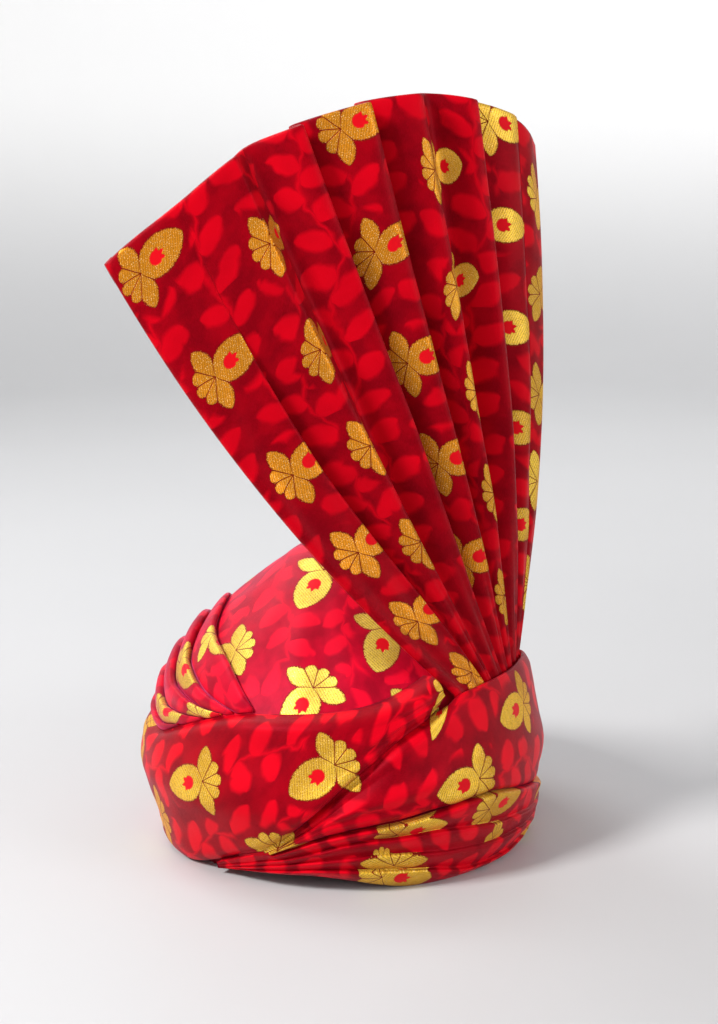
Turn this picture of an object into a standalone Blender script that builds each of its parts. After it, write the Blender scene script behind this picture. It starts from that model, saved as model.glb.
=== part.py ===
"""Tied turban pagri: wound turns, a cloth crown with side pleats, two outer wraps and a standing fan.

Metres, +Z up. The origin is the centre of the head opening in the plane that the rim rests on.
The front faces -Y. Angles go round the turban from the front (0) towards +X (90) and the back (180).
"""
import bmesh
import bpy
import math
import numpy as np

# Driving dimensions
HEAD_WIDTH = 0.160        # hollow for the head, ear to ear
HEAD_DEPTH = 0.196        # hollow for the head, forehead to back
TURNS_SIDE = 0.0310       # wound cloth at the ears
TURNS_FRONT = 0.0170      # wound cloth at the forehead and the back
TURNS_HEIGHT = 0.084      # wound cloth from the rim up
CLOTH = 0.0030            # one folded layer of brocade
WRAP = 0.0096             # outer wraps, several layers of the folded cloth
PLEAT = 0.0046            # how far a crown pleat's folded edge stands off the crown
LAYER_GAP = 0.0008        # clearance between cloth laid on cloth
EDGE_GAP = 0.0008         # clearance between two folds that lie edge to edge
BODY_HEIGHT = 0.181       # rim to the top of the crown
BAND_HEIGHT = 0.110       # rim to the top of the outer wrap under the fan
EDGE_ROLL = 0.0070        # height over which a wrap's folded edge rounds off
LEAN = 0.0050             # how far the wraps lean to the right of the crown
HEEL = 0.0070             # how far the front band's foot swells at the lower left
RIM_FOLD = 0.0036         # depth of the creases in the lower wrap
FAN_LENGTH = 0.333        # longest fold of the fan, above its neck
FAN_CLOTH = 0.0026        # wall of the pleated fan
FAN_HEM = 0.0044          # rolled hem along the fan's top
FAN_TUCK = 0.018          # length of the fan's neck inside the outer wrap
NECK_DEPTH = 0.0080       # gathered depth of the fan where it leaves the wrap
FAN_PLEAT = 0.014         # deepest pleat of the fan
HELD_EDGE = 0.0026        # outer wrap where it holds the fan's neck
NECK_STEP = 0.0025        # room left under the neck's root

STEP = 6.0                # degrees from one section to the next

# The crown's profile, from its widest line to the top: shares of its half width and of its height.
CROWN_PROFILE = (
    # (out, up)
    (1.000, 0.340),
    (0.985, 0.400),
    (0.955, 0.470),
    (0.910, 0.540),
    (0.842, 0.610),
    (0.750, 0.680),
    (0.630, 0.755),
    (0.490, 0.835),
    (0.340, 0.915),
    (0.180, 0.980),
    (0.030, 1.000),
)
SKIRT_FOOT = 0.14         # where the crown's skirt ends, a share of BODY_HEIGHT

# The wraps' outer profile: shares of their half width, of the band's height, and of LEAN. They lean
# to the right of the crown, over the rim and again under the fan.
WRAP_PROFILE = (
    # (out, up, lean)
    (0.903, 0.000, 1.00),
    (0.922, 0.090, 1.00),
    (0.940, 0.170, 0.94),
    (0.962, 0.265, 0.52),
    (0.980, 0.345, 0.26),
    (1.000, 0.440, 0.06),
    (0.990, 0.540, 0.18),
    (0.963, 0.650, 0.28),
    (0.936, 0.770, 0.44),
    (0.903, 0.900, 0.70),
    (0.870, 0.980, 0.80),
    (0.845, 1.070, 0.80),
    (0.820, 1.150, 0.80),
)

# The wound turns' outer profile under the skirt: shares of their wall and of their height.
TURNS_PROFILE = (
    # (inset, up)
    (0.34, 0.000),
    (0.20, 0.140),
    (0.08, 0.250),
    (0.00, 0.330),
    (0.00, 0.720),
    (0.16, 0.880),
    (0.38, 0.970),
    (0.66, 1.000),
)

# The outer wrap's upper edge along its way round: shares of BAND_HEIGHT. It starts under the front
# band at the lower left, and its second pass over the front is that band.
WRAP_UPPER_EDGE = (
    # (angle, up)
    (-22, 0.215),
    (-15, 0.310),
    (-8, 0.420),
    (0, 0.570),
    (8, 0.690),
    (16, 0.795),
    (26, 0.885),
    (36, 0.980),
    (45, 1.000),
    (58, 1.010),
    (75, 1.010),
    (90, 0.985),
    (120, 0.930),
    (150, 0.880),
    (180, 0.830),
    (210, 0.765),
    (240, 0.690),
    (255, 0.650),
    (280, 0.635),
    (292, 0.655),
    (298, 0.700),
    (305, 0.755),
    (312, 0.805),
    (321, 0.860),
    (329, 0.895),
    (338, 0.912),
    (352, 0.932),
    (360, 0.946),
    (368, 0.965),
    (376, 0.995),
    (384, 1.035),
    (391, 1.070),
)

# Its lower edge, as far as the place where the second pass meets the first: shares of BAND_HEIGHT.
WRAP_LOWER_EDGE = (
    # (angle, up)
    (-22, 0.190),
    (-15, 0.245),
    (-8, 0.300),
    (0, 0.345),
    (8, 0.375),
    (16, 0.395),
    (26, 0.425),
    (36, 0.450),
    (45, 0.455),
    (58, 0.405),
    (75, 0.320),
    (90, 0.250),
    (120, 0.200),
    (150, 0.155),
    (180, 0.110),
    (210, 0.065),
    (240, 0.020),
    (255, 0.000),
    (305, 0.005),
    (312, 0.035),
    (321, 0.095),
    (329, 0.155),
    (338, 0.215),
)

# The lower wrap's foot and its three creases: shares of BAND_HEIGHT. It reaches up to the outer wrap,
# and over the left of the forehead its foot is arched off the ground.
RIM_WRAP_FOLDS = (
    # (angle, foot, crease low, crease middle, crease high, crease depth)
    (-48, 0.000, 0.006, 0.012, 0.018, 0.05),
    (-42, 0.028, 0.033, 0.040, 0.048, 0.10),
    (-34, 0.048, 0.060, 0.075, 0.090, 0.25),
    (-26, 0.060, 0.085, 0.110, 0.135, 0.40),
    (-18, 0.072, 0.105, 0.140, 0.175, 0.60),
    (-10, 0.080, 0.125, 0.175, 0.222, 0.80),
    (0, 0.062, 0.130, 0.205, 0.280, 0.95),
    (8, 0.034, 0.125, 0.220, 0.305, 1.00),
    (16, 0.008, 0.115, 0.218, 0.312, 1.00),
    (26, 0.000, 0.095, 0.200, 0.320, 1.00),
    (36, 0.000, 0.055, 0.190, 0.322, 1.00),
    (46, 0.000, 0.040, 0.175, 0.312, 0.95),
    (60, 0.000, 0.045, 0.160, 0.275, 0.80),
    (75, 0.000, 0.055, 0.135, 0.220, 0.60),
    (90, 0.000, 0.055, 0.115, 0.180, 0.40),
    (120, 0.000, 0.045, 0.095, 0.145, 0.22),
    (150, 0.000, 0.036, 0.073, 0.110, 0.12),
    (180, 0.000, 0.025, 0.050, 0.076, 0.08),
    (205, 0.000, 0.016, 0.032, 0.048, 0.04),
)
RIM_WRAP_START = -42

# The crown pleats' folded edges: where each leaves the outer wrap at the front and comes back to it
# behind, and how high it stands between, as shares of the way from the wrap's edge to the crown's top.
CROWN_PLEATS = (
    # (front angle, back angle, at 1/10, at 1/4, at 1/2, at 3/4, at 9/10)
    (-27, -166, 0.19, 0.43, 0.62, 0.43, 0.17),
    (-34, -157, 0.10, 0.30, 0.51, 0.34, 0.12),
    (-38, -149, 0.08, 0.23, 0.365, 0.23, 0.08),
    (-45, -140, 0.05, 0.135, 0.215, 0.13, 0.05),
    (-56, -130, 0.028, 0.055, 0.070, 0.055, 0.028),
)
PLEAT_STATIONS = (0.0, 0.10, 0.25, 0.50, 0.75, 0.90, 1.0)

# The fan's folds from its left edge to its right edge.
FAN_NECK_ANGLES = (36, 88)
FAN_FOLDS = (
    # (place in the neck, lean in degrees, length, reach to the front, bow, pleat depth to its right)
    # length, reach and bow are shares of FAN_LENGTH, pleat depth a share of FAN_PLEAT
    (0.00, 37.5, 0.925, 0.066, 0.032, 0.45),
    (0.15, 30.4, 0.950, 0.080, 0.034, 0.50),
    (0.28, 24.0, 0.984, 0.084, 0.014, 0.60),
    (0.41, 18.2, 0.998, 0.080, 0.010, 0.75),
    (0.54, 11.7, 1.005, 0.064, 0.000, 0.85),
    (0.66, 7.6, 0.999, 0.046, -0.006, 0.85),
    (0.78, 3.2, 0.974, 0.024, -0.012, 0.80),
    (0.90, 0.3, 0.948, 0.004, -0.018, 0.60),
    (1.00, -1.2, 0.914, -0.012, -0.026, 0.00),
)
FAN_SCOOP = 0.045         # how far the left edge swings forward half way up, a share of FAN_LENGTH
FAN_VALLEY = 0.36         # where a pleat is deepest, between a fold and the next
FAN_STATIONS = (0.0, 0.03, 0.08, 0.16, 0.27, 0.39, 0.51, 0.63, 0.75, 0.86, 0.94, 0.985, 1.0)

# Half widths that follow from the sizes above
TURNS_OUT = (HEAD_WIDTH / 2 + TURNS_SIDE, HEAD_DEPTH / 2 + TURNS_FRONT)
CROWN_OUT = tuple(half + LAYER_GAP + CLOTH for half in TURNS_OUT)
WRAP_OUT = tuple(half + LAYER_GAP + WRAP for half in CROWN_OUT)


def column(rows, index):
    """One column of a table as an array."""
    return np.array([row[index] for row in rows], dtype=float)


def eased(rows, index, place):
    """Read a table's column at a place, along a smooth curve through its rows."""
    places = column(rows, 0)
    values = column(rows, index)
    place = min(max(place, places[0]), places[-1])
    slopes = np.gradient(values, places)
    i = min(int(np.searchsorted(places, place, side="right")) - 1, len(places) - 2)
    span = places[i + 1] - places[i]
    t = (place - places[i]) / span
    rise = (values[i + 1] - values[i]) / span
    start = limited(slopes[i], rise)
    end = limited(slopes[i + 1], rise)
    return (values[i] * (1 + 2 * t) * (1 - t) ** 2 + values[i + 1] * t * t * (3 - 2 * t)
            + span * (start * t * (1 - t) ** 2 - end * t * t * (1 - t)))


def limited(slope, rise):
    """Keep a slope from overshooting between two rows."""
    if slope * rise <= 0:
        return 0.0
    return math.copysign(min(abs(slope), 3 * abs(rise)), rise)


def ring_point(angle, half_width, half_depth, height, shift=0.0):
    """A point at an angle round the turban."""
    turn = math.radians(angle)
    return np.array((shift + half_width * math.sin(turn), -half_depth * math.cos(turn), height))


def smooth_step(value, low, high):
    """0 below low, 1 above high, and an even curve between."""
    t = min(max((value - low) / (high - low), 0.0), 1.0)
    return t * t * (3 - 2 * t)


def crown_share(height):
    """The crown's half width at a height, as a share. Under its widest line the skirt is upright."""
    return float(np.interp(height / BODY_HEIGHT, column(CROWN_PROFILE, 1), column(CROWN_PROFILE, 0)))


def crown_point(angle, height, off):
    """A point that stands off the crown along its normal."""
    share = crown_share(height)
    reach = 0.03 * BODY_HEIGHT
    spread = (crown_share(height + reach) - crown_share(height - reach)) * sum(CROWN_OUT) / 2
    slope = math.atan2(-spread, 2 * reach)
    out = off * math.cos(slope)
    return ring_point(angle, CROWN_OUT[0] * share + out, CROWN_OUT[1] * share + out,
                      height + off * math.sin(slope))


def turns_inset(height):
    """How far the wound turns' outside is drawn in at a height, as a share of their wall."""
    return float(np.interp(height / TURNS_HEIGHT, column(TURNS_PROFILE, 1), column(TURNS_PROFILE, 0)))


def bed(height):
    """Half widths of what the outer wraps lie on: the crown's skirt, and under it the wound turns."""
    turns = (TURNS_OUT[0] - TURNS_SIDE * turns_inset(height),
             TURNS_OUT[1] - TURNS_FRONT * turns_inset(height))
    over_skirt = smooth_step(height, skirt_level() - 0.012, skirt_level())
    crown = (CROWN_OUT[0] * crown_share(height), CROWN_OUT[1] * crown_share(height))
    return tuple(turns[i] + (crown[i] - turns[i]) * over_skirt for i in (0, 1))


def skirt_level():
    """The height, just under the skirt's foot, down to which the wraps keep clear of the skirt."""
    return SKIRT_FOOT * BODY_HEIGHT - 3 * LAYER_GAP


def back_heights(low, high, count, levels):
    """Even heights from high to low, with the nearest ones moved to the levels where the bed steps."""
    heights = np.linspace(high, low, count)
    for level in levels:
        if low < level < high:
            heights[1 + int(np.argmin(np.abs(heights[1:-1] - level)))] = level
    return heights


def upper_edge(angle):
    """The height of the outer wrap's upper edge, counted on through both passes."""
    return BAND_HEIGHT * eased(WRAP_UPPER_EDGE, 1, angle)


def lower_edge(angle):
    """The height of its lower edge. The second pass lies edge to edge on the first."""
    first = WRAP_UPPER_EDGE[0][0] + 360
    if angle < first:
        return BAND_HEIGHT * eased(WRAP_LOWER_EDGE, 1, angle)
    return upper_edge(angle - 360) + EDGE_GAP * smooth_step(angle, first - 1, first + 4)


def neck_window(angle):
    """1 where the outer wrap holds the fan's neck, and 0 away from it."""
    first, last = FAN_NECK_ANGLES
    turn = (angle + 180) % 360 - 180
    return smooth_step(turn, first - 12, first - 3) * (1 - smooth_step(turn, last + 3, last + 12))


def wrap_share(height, index):
    """A column of the wraps' profile, read at a height."""
    return float(np.interp(height / BAND_HEIGHT, column(WRAP_PROFILE, 1), column(WRAP_PROFILE, index)))


def wrap_face(height, held):
    """Half widths of the outer wraps' outside. A wrap that holds the neck stands further out."""
    share = wrap_share(height, 0)
    faces = []
    for i in (0, 1):
        profile = WRAP_OUT[i] * share
        laid = bed(height)[i] + LAYER_GAP + WRAP
        faces.append(min(profile, laid) + (profile - min(profile, laid)) * held)
    return faces


def heel(angle, height):
    """The swell of the front band's foot at the lower left."""
    turn = (angle + 180) % 360 - 180
    round_it = smooth_step(turn, -100, -62) * (1 - smooth_step(turn, -58, -34))
    return HEEL * round_it * (1 - smooth_step(height, 0.05 * BAND_HEIGHT, 0.40 * BAND_HEIGHT))


def wrap_point(angle, height, set_back, held):
    """A point on the outside of a wrap, drawn in by set_back."""
    face = [half + heel(angle, height) for half in wrap_face(height, held)]
    shift = LEAN * wrap_share(height, 2)
    least = [half + LAYER_GAP + 0.10 * WRAP for half in bed(height)]
    halves = [max(face[i] - set_back, least[i]) for i in (0, 1)]
    return ring_point(angle, halves[0], halves[1], height, shift)


def wrap_back(angle, height, held):
    """A point on the side of a wrap that lies on the turban, or on the fan's neck."""
    laid = [half + LAYER_GAP for half in bed(height)]
    face = wrap_face(height, held)
    step = neck_foot(angle) - NECK_STEP
    in_neck = held * smooth_step(height, step - 2 * NECK_STEP, step)
    halves = [laid[i] + (face[i] - HELD_EDGE - laid[i]) * in_neck for i in (0, 1)]
    return ring_point(angle, halves[0], halves[1], height, LEAN * wrap_share(height, 2) * in_neck)


def neck_foot(angle):
    """The height of the fan's root, inside the outer wrap."""
    turn = (angle + 180) % 360 - 180
    return upper_edge(turn) - FAN_TUCK


def wrap_top(angle):
    """The height of the outer wrap's top edge, as seen from outside, at any angle."""
    turn = angle % 360
    seen = turn + 360 if turn < 30 else turn
    return upper_edge(seen)


def make_material(name, color, roughness, metallic):
    """A plain finish with the sub-part's colour."""
    material = bpy.data.materials.new(name)
    material.use_nodes = True
    shader = material.node_tree.nodes["Principled BSDF"]
    shader.inputs["Base Color"].default_value = (*color, 1.0)
    shader.inputs["Roughness"].default_value = roughness
    shader.inputs["Metallic"].default_value = metallic
    return material


def skin(name, loops, material, ring=False):
    """Skin a row of closed loops into one solid, closed at both ends or joined to a ring."""
    solid = bmesh.new()
    rows = [[solid.verts.new(point) for point in loop] for loop in loops]
    pairs = list(zip(rows, rows[1:]))
    if ring:
        pairs.append((rows[-1], rows[0]))
    else:
        for loop in (rows[0], rows[-1]):
            close_end(solid, loop)
    for one, other in pairs:
        for i in range(len(one)):
            j = (i + 1) % len(one)
            solid.faces.new((one[i], one[j], other[j], other[i]))
    bmesh.ops.triangulate(solid, faces=solid.faces[:])
    bmesh.ops.recalc_face_normals(solid, faces=solid.faces[:])
    mesh = bpy.data.meshes.new(name)
    solid.to_mesh(mesh)
    solid.free()
    mesh.materials.append(material)
    mesh.shade_smooth()
    mesh.set_sharp_from_angle(angle=math.radians(50))
    piece = bpy.data.objects.new(name, mesh)
    bpy.context.scene.collection.objects.link(piece)
    return piece


def close_end(solid, loop):
    """Close a loop with a ladder of faces between its front and its back."""
    i, j = 0, len(loop) - 1
    while j - i > 2:
        solid.faces.new((loop[i], loop[i + 1], loop[j - 1], loop[j]))
        i, j = i + 1, j - 1
    if j - i == 2:
        solid.faces.new((loop[i], loop[i + 1], loop[j]))


def angles_between(first, last):
    """Section angles on the shared steps, with the two ends added."""
    inner = np.arange(math.ceil(first / STEP + 0.3) * STEP, last - 0.3 * STEP, STEP)
    return [first, *inner, last]


def make_inner_turns(material):
    """The wound turns: an upright hollow for the head, and an outside that rounds off at the top."""
    half_head = (HEAD_WIDTH / 2, HEAD_DEPTH / 2)
    wall = (TURNS_SIDE, TURNS_FRONT)
    hollow = ((0.86, 0.985), (0.97, 0.93), (1.0, 0.80), (1.0, 0.42), (1.0, 0.06), (0.90, 0.0))
    loops = []
    for angle in np.arange(-180, 180, STEP):
        lift = BAND_HEIGHT * eased(RIM_WRAP_FOLDS, 1, angle)
        loop = []
        for inset, up in TURNS_PROFILE:
            height = lift + (TURNS_HEIGHT - lift) * up
            drawn = max(inset, turns_inset(height))
            out = [half_head[i] + wall[i] * (1 - drawn) for i in (0, 1)]
            loop.append(ring_point(angle, out[0], out[1], height))
        for inset, up in hollow:
            height = lift + (TURNS_HEIGHT - lift) * up
            out = [half_head[i] + wall[i] * (1 - inset) for i in (0, 1)]
            loop.append(ring_point(angle, out[0], out[1], height))
        loops.append(loop)
    return skin("inner_turns", loops, material, ring=True)


def make_crown_cover(material):
    """The crown: a cloth dome with an upright skirt between the turns and the wraps."""
    rows = [(1.0, SKIRT_FOOT), *CROWN_PROFILE]
    angles = np.arange(-180, 180, STEP)
    outside = []
    inside = []
    for out, up in rows:
        height = BODY_HEIGHT * up
        half = [CROWN_OUT[i] * out for i in (0, 1)]
        outside.append([ring_point(angle, half[0], half[1], height) for angle in angles])
        half = [(CROWN_OUT[i] - CLOTH) * out for i in (0, 1)]
        below = height - CLOTH * (1 - out)
        inside.append([ring_point(angle, half[0], half[1], below) for angle in angles])
    return skin("crown_cover", inside[::-1] + outside, material)


def pleat_edge(index, angle):
    """The height of a crown pleat's folded edge, or of the wrap's top past the pleat's ends."""
    if index >= len(CROWN_PLEATS):
        return wrap_top(angle)
    front, back = CROWN_PLEATS[index][:2]
    along = (angle - front) / (back - front)
    if along <= 0 or along >= 1:
        return wrap_top(angle)
    shares = (0.0, *CROWN_PLEATS[index][2:], 0.0)
    rows = tuple(zip(PLEAT_STATIONS, shares))
    return wrap_top(angle) + eased(rows, 1, along) * (BODY_HEIGHT - wrap_top(angle))


def make_crown_pleat(index, material):
    """One pleat on the left flank: its upper edge is a round fold that stands over the pleat above."""
    front, back = CROWN_PLEATS[index][:2]
    # across the pleat, from its lower side to its folded upper edge: how far it stands off
    outer = ((0.0, 0.34), (0.30, 0.50), (0.58, 0.74), (0.80, 0.96), (0.92, 1.0), (1.0, 0.72))
    inner = (1.0, 0.66, 0.33, 0.0)
    loops = []
    for angle in angles_between(back + 2, front - 2):
        low = pleat_edge(index + 1, angle) + EDGE_GAP
        high = max(pleat_edge(index, angle), low + EDGE_GAP)
        off = PLEAT * (0.45 + 0.55 * smooth_step(high - low, 0.001, 0.010))
        loop = [crown_point(angle, low + (high - low) * across, LAYER_GAP + off * stand)
                for across, stand in outer]
        loop += [crown_point(angle, low + (high - low) * across, LAYER_GAP) for across in inner]
        loops.append(loop)
    return skin(f"crown_pleat_{index + 1}", loops, material)


def make_outer_wrap(material):
    """The broad turn: one ribbon that passes the front twice, edge to edge along the slanting fold."""
    first = WRAP_UPPER_EDGE[0][0]
    last = WRAP_UPPER_EDGE[-1][0]
    # from an edge inward: how far in, as a share of the roll, and how far drawn in, of the wrap
    roll = ((0.0, 0.80), (0.16, 0.42), (0.45, 0.14), (1.0, 0.0))
    loops = []
    for angle in angles_between(first, last):
        low = lower_edge(angle)
        high = upper_edge(angle)
        width = high - low
        held = neck_window(angle) if angle < 180 else 0.0
        edge = min(EDGE_ROLL, 0.34 * width)
        # the first pass dives under the band at its upper left, and the band under it at its end
        sunk_high = 0.42 * WRAP * (1 - smooth_step(angle, 2, 20))
        sunk_low = 0.42 * WRAP * smooth_step(angle, 362, 380)
        on_ground = 0.5 * (1 - smooth_step(low, 0.0, 0.06 * BAND_HEIGHT))
        loop = [wrap_point(angle, low + edge * into,
                           WRAP * drawn * (1 - 0.6 * held) * (1 - on_ground) + sunk_low, held)
                for into, drawn in roll]
        for across in (0.30, 0.50, 0.70):
            sunk = sunk_low * (1 - across) + sunk_high * across
            loop.append(wrap_point(angle, low + edge + (width - 2 * edge) * across, sunk, held))
        wall = WRAP + (0.75 * HELD_EDGE - WRAP) * held
        loop += [wrap_point(angle, high - edge * into, wall * drawn + sunk_high, held)
                 for into, drawn in roll[::-1]]
        levels = [skirt_level()] + ([neck_foot(angle) - NECK_STEP] if held else [])
        loop += [wrap_back(angle, height, held) for height in back_heights(low, high, 7, levels)]
        loops.append(loop)
    return skin("outer_wrap", loops, material)


def make_rim_wrap(material):
    """The lower wrap: pleats with creases between, open where the outer wrap comes down to the rim."""
    first = RIM_WRAP_START
    last = RIM_WRAP_FOLDS[-1][0]
    loops = []
    for angle in angles_between(first, last):
        marks = [BAND_HEIGHT * eased(RIM_WRAP_FOLDS, i, angle) for i in range(1, 5)]
        above = angle if angle >= WRAP_UPPER_EDGE[0][0] else angle + 360
        marks.append(lower_edge(above) - EDGE_GAP)
        depth = RIM_FOLD * eased(RIM_WRAP_FOLDS, 5, angle)
        loop = []
        for i, (low, high) in enumerate(zip(marks, marks[1:])):
            sink = depth if i else 0.42 * WRAP
            loop.append(wrap_point(angle, low, sink, 0.0))
            loop.append(wrap_point(angle, low + 0.30 * (high - low), 0.10 * depth, 0.0))
            loop.append(wrap_point(angle, low + 0.66 * (high - low), 0.0, 0.0))
        loop.append(wrap_point(angle, marks[-1], depth + 0.10 * WRAP, 0.0))
        heights = back_heights(marks[0], marks[-1], 5, [skirt_level()])
        loop += [wrap_back(angle, height, 0.0) for height in heights]
        loops.append(loop)
    return skin("rim_wrap", loops, material)


def neck_point(angle, up=1.0):
    """A point in the middle of the neck, from its root (0) to where it leaves the wrap (1)."""
    top = upper_edge(angle)
    height = top - FAN_TUCK * (1 - up)
    face = wrap_face(height, 1.0)
    outer = [face[i] - HELD_EDGE - LAYER_GAP for i in (0, 1)]
    turn = math.radians(angle)
    outward = np.array((math.sin(turn), -math.cos(turn), 0.0))
    return ring_point(angle, outer[0], outer[1], height, LEAN * wrap_share(height, 2)) \
        - outward * neck_depth(up) / 2


def fan_point(index, along):
    """A point on one of the fan's folds, from where it leaves the wrap (0) to the hem (1)."""
    place, lean, length, reach, bow, _ = FAN_FOLDS[index]
    foot = neck_point(fold_angle(index))
    lean = math.radians(lean)
    up_the_fold = np.array((-math.sin(lean), 0.0, math.cos(lean)))
    leftward = np.array((-math.cos(lean), 0.0, -math.sin(lean)))
    sag = leftward * bow * 4 * along * (1 - along)
    forward = reach * along + FAN_SCOOP * (1 - place) * math.sin(math.pi * along)
    return foot + FAN_LENGTH * (up_the_fold * length * along + sag - np.array((0.0, forward, 0.0)))


def fold_angle(index):
    """Where a fold of the fan stands in the neck."""
    first, last = FAN_NECK_ANGLES
    return first + (last - first) * FAN_FOLDS[index][0]


def make_fan(material):
    """The standing fan: folds that spread from the gathered neck, with a valley in each pleat."""
    folds = range(len(FAN_FOLDS))
    loops = []
    for up in (0.0, 0.5):
        ridges = [neck_point(fold_angle(i), up) for i in folds]
        loops.append(fan_section(ridges, up, 0.0, FAN_CLOTH))
    for along in FAN_STATIONS:
        hem = smooth_step(along, 0.90, 0.97) * (1 - 0.5 * smooth_step(along, 0.985, 1.0))
        ridges = [fan_point(i, along) for i in folds]
        loops.append(fan_section(ridges, 1.0, along, FAN_CLOTH + (FAN_HEM - FAN_CLOTH) * hem))
    return skin("fan", loops, material)


def neck_depth(up):
    """How deep the gathered neck is, from its root (0) to where it leaves the wrap (1)."""
    root = 1.2 * FAN_CLOTH
    return root + (NECK_DEPTH - root) * up


def fan_section(ridges, up, along, thick):
    """A closed loop across the fan: its front from left to right, then its back."""
    facing = front_of(ridges[0], ridges[-1])
    gathered = neck_depth(up) - FAN_CLOTH
    middle = []
    for i, (start, end) in enumerate(zip(ridges, ridges[1:])):
        spread = FAN_PLEAT * FAN_FOLDS[i][5]
        depth = gathered + (spread - gathered) * smooth_step(along, 0.0, 0.5)
        outward = front_of(start, end) + facing
        outward /= np.linalg.norm(outward)
        for share, sunk in ((0.0, -0.5), (FAN_VALLEY, 0.5), (0.72, 0.0)):
            middle.append((start + (end - start) * share - outward * depth * sunk, outward))
    middle.append((ridges[-1], outward))
    front = [point + outward * thick / 2 for point, outward in middle]
    back = [point - outward * thick / 2 for point, outward in middle]
    return front + back[::-1]


def front_of(start, end):
    """The level direction that the cloth between two points faces."""
    across = end - start
    return np.array((across[1], -across[0], 0.0)) / math.hypot(across[0], across[1])


for old in list(bpy.data.objects):
    bpy.data.objects.remove(old, do_unlink=True)

lining_red = make_material("wound_red", (0.30, 0.010, 0.022), 0.75, 0.0)
crown_red = make_material("crown_brocade", (0.52, 0.012, 0.045), 0.42, 0.0)
pleat_red = make_material("pleat_brocade", (0.46, 0.010, 0.050), 0.42, 0.0)
wrap_red = make_material("wrap_brocade", (0.55, 0.010, 0.030), 0.42, 0.0)
rim_red = make_material("rim_brocade", (0.42, 0.008, 0.028), 0.45, 0.0)
fan_red = make_material("fan_brocade", (0.50, 0.008, 0.026), 0.42, 0.0)

make_inner_turns(lining_red)
make_crown_cover(crown_red)
for number in range(len(CROWN_PLEATS)):
    make_crown_pleat(number, pleat_red)
make_rim_wrap(rim_red)
make_outer_wrap(wrap_red)
make_fan(fan_red)
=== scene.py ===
# %% [markdown]
# A tied turban, cell by cell. It is one long red and gold brocade: wound round the head, stretched
# over the crown, pleated down one flank, carried round the outside as a broad band, and left
# standing as a tall pleated fan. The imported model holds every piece's place and size, so this
# lesson only dresses it: each cell lays one piece of cloth over the solid that stands for it.

# %% Open the frame and keep its size
import math
import bmesh
import bpy
import numpy as np
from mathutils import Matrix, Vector


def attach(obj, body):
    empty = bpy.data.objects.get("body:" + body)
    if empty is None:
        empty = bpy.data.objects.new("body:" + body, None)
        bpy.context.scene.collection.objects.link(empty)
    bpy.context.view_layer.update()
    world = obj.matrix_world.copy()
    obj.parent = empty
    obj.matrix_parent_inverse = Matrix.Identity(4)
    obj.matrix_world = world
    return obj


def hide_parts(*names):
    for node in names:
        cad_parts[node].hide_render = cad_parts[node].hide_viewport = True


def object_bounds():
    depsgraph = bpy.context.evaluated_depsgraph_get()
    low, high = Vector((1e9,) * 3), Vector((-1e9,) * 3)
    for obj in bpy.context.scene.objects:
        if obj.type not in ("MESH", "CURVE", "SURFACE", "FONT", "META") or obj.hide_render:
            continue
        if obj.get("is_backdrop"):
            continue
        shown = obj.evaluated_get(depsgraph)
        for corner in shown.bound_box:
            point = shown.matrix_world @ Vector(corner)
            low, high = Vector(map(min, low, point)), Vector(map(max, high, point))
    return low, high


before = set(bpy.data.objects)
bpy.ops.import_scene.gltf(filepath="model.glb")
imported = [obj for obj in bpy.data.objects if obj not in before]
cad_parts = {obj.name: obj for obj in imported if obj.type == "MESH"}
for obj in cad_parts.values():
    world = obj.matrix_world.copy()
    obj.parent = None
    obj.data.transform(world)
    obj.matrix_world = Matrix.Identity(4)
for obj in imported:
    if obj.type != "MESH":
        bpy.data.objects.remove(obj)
cad_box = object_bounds()
print("frame:", sorted(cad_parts), cad_box)

# %% [markdown]
# The camera comes first, so every later choice can be judged from where the picture is taken: a
# little above the band, looking slightly down, from about an arm and a half away.

# %% Set up the camera
camera = bpy.data.objects.new("studio_camera", bpy.data.cameras.new("studio_camera"))
camera.data.lens = 66.91
camera.data.sensor_width = 36.0
camera.location = (0.01055, -1.12487, 0.43487)
look_at = Vector((0.01055, 0.0, 0.19577))
camera.rotation_euler = (look_at - camera.location).to_track_quat("-Z", "Y").to_euler()
bpy.context.scene.collection.objects.link(camera)
bpy.context.scene.camera = camera
print("camera at", tuple(camera.location))

# %% [markdown]
# Cloth is laid over forms that are easier to say in numbers than to push about by hand. These are
# the tailor's measures: the half widths of the hollow, of the wound turns, of the crown and of the
# outer wraps, each across and from front to back. Angles go round the turban from the front (0)
# to the wearer's left, the side of the fan (90), and on to the back (180).

# %% Measures of the turban, in metres
HEAD = (0.080, 0.098)
TURNS = (0.111, 0.115)
CROWN = (0.1148, 0.1188)
WRAPS = (0.1252, 0.1292)
TURNS_HEIGHT = 0.084
BODY_HEIGHT = 0.181
BAND_HEIGHT = 0.110
LEAN = 0.0050         # how far the wraps lean to the right of the crown
WRAP_THICK = 0.0096   # several folded layers of cloth
LAYER_GAP = 0.0008    # room between cloth laid on cloth
HELD_WALL = 0.0026    # the outer wrap where it holds the fan's neck
NECK_TUCK = 0.018     # the length of the neck inside the wrap
NECK_STEP = 0.0205    # how deep the wrap is hollowed for it
print("hollow", 2000 * HEAD[0], "by", 2000 * HEAD[1], "mm")

# %% Read a smooth curve through a few given rows
def limited(slope, rise):
    """Keep a slope from overshooting between two rows."""
    if slope * rise <= 0:
        return 0.0
    return math.copysign(min(abs(slope), 3 * abs(rise)), rise)


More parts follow.
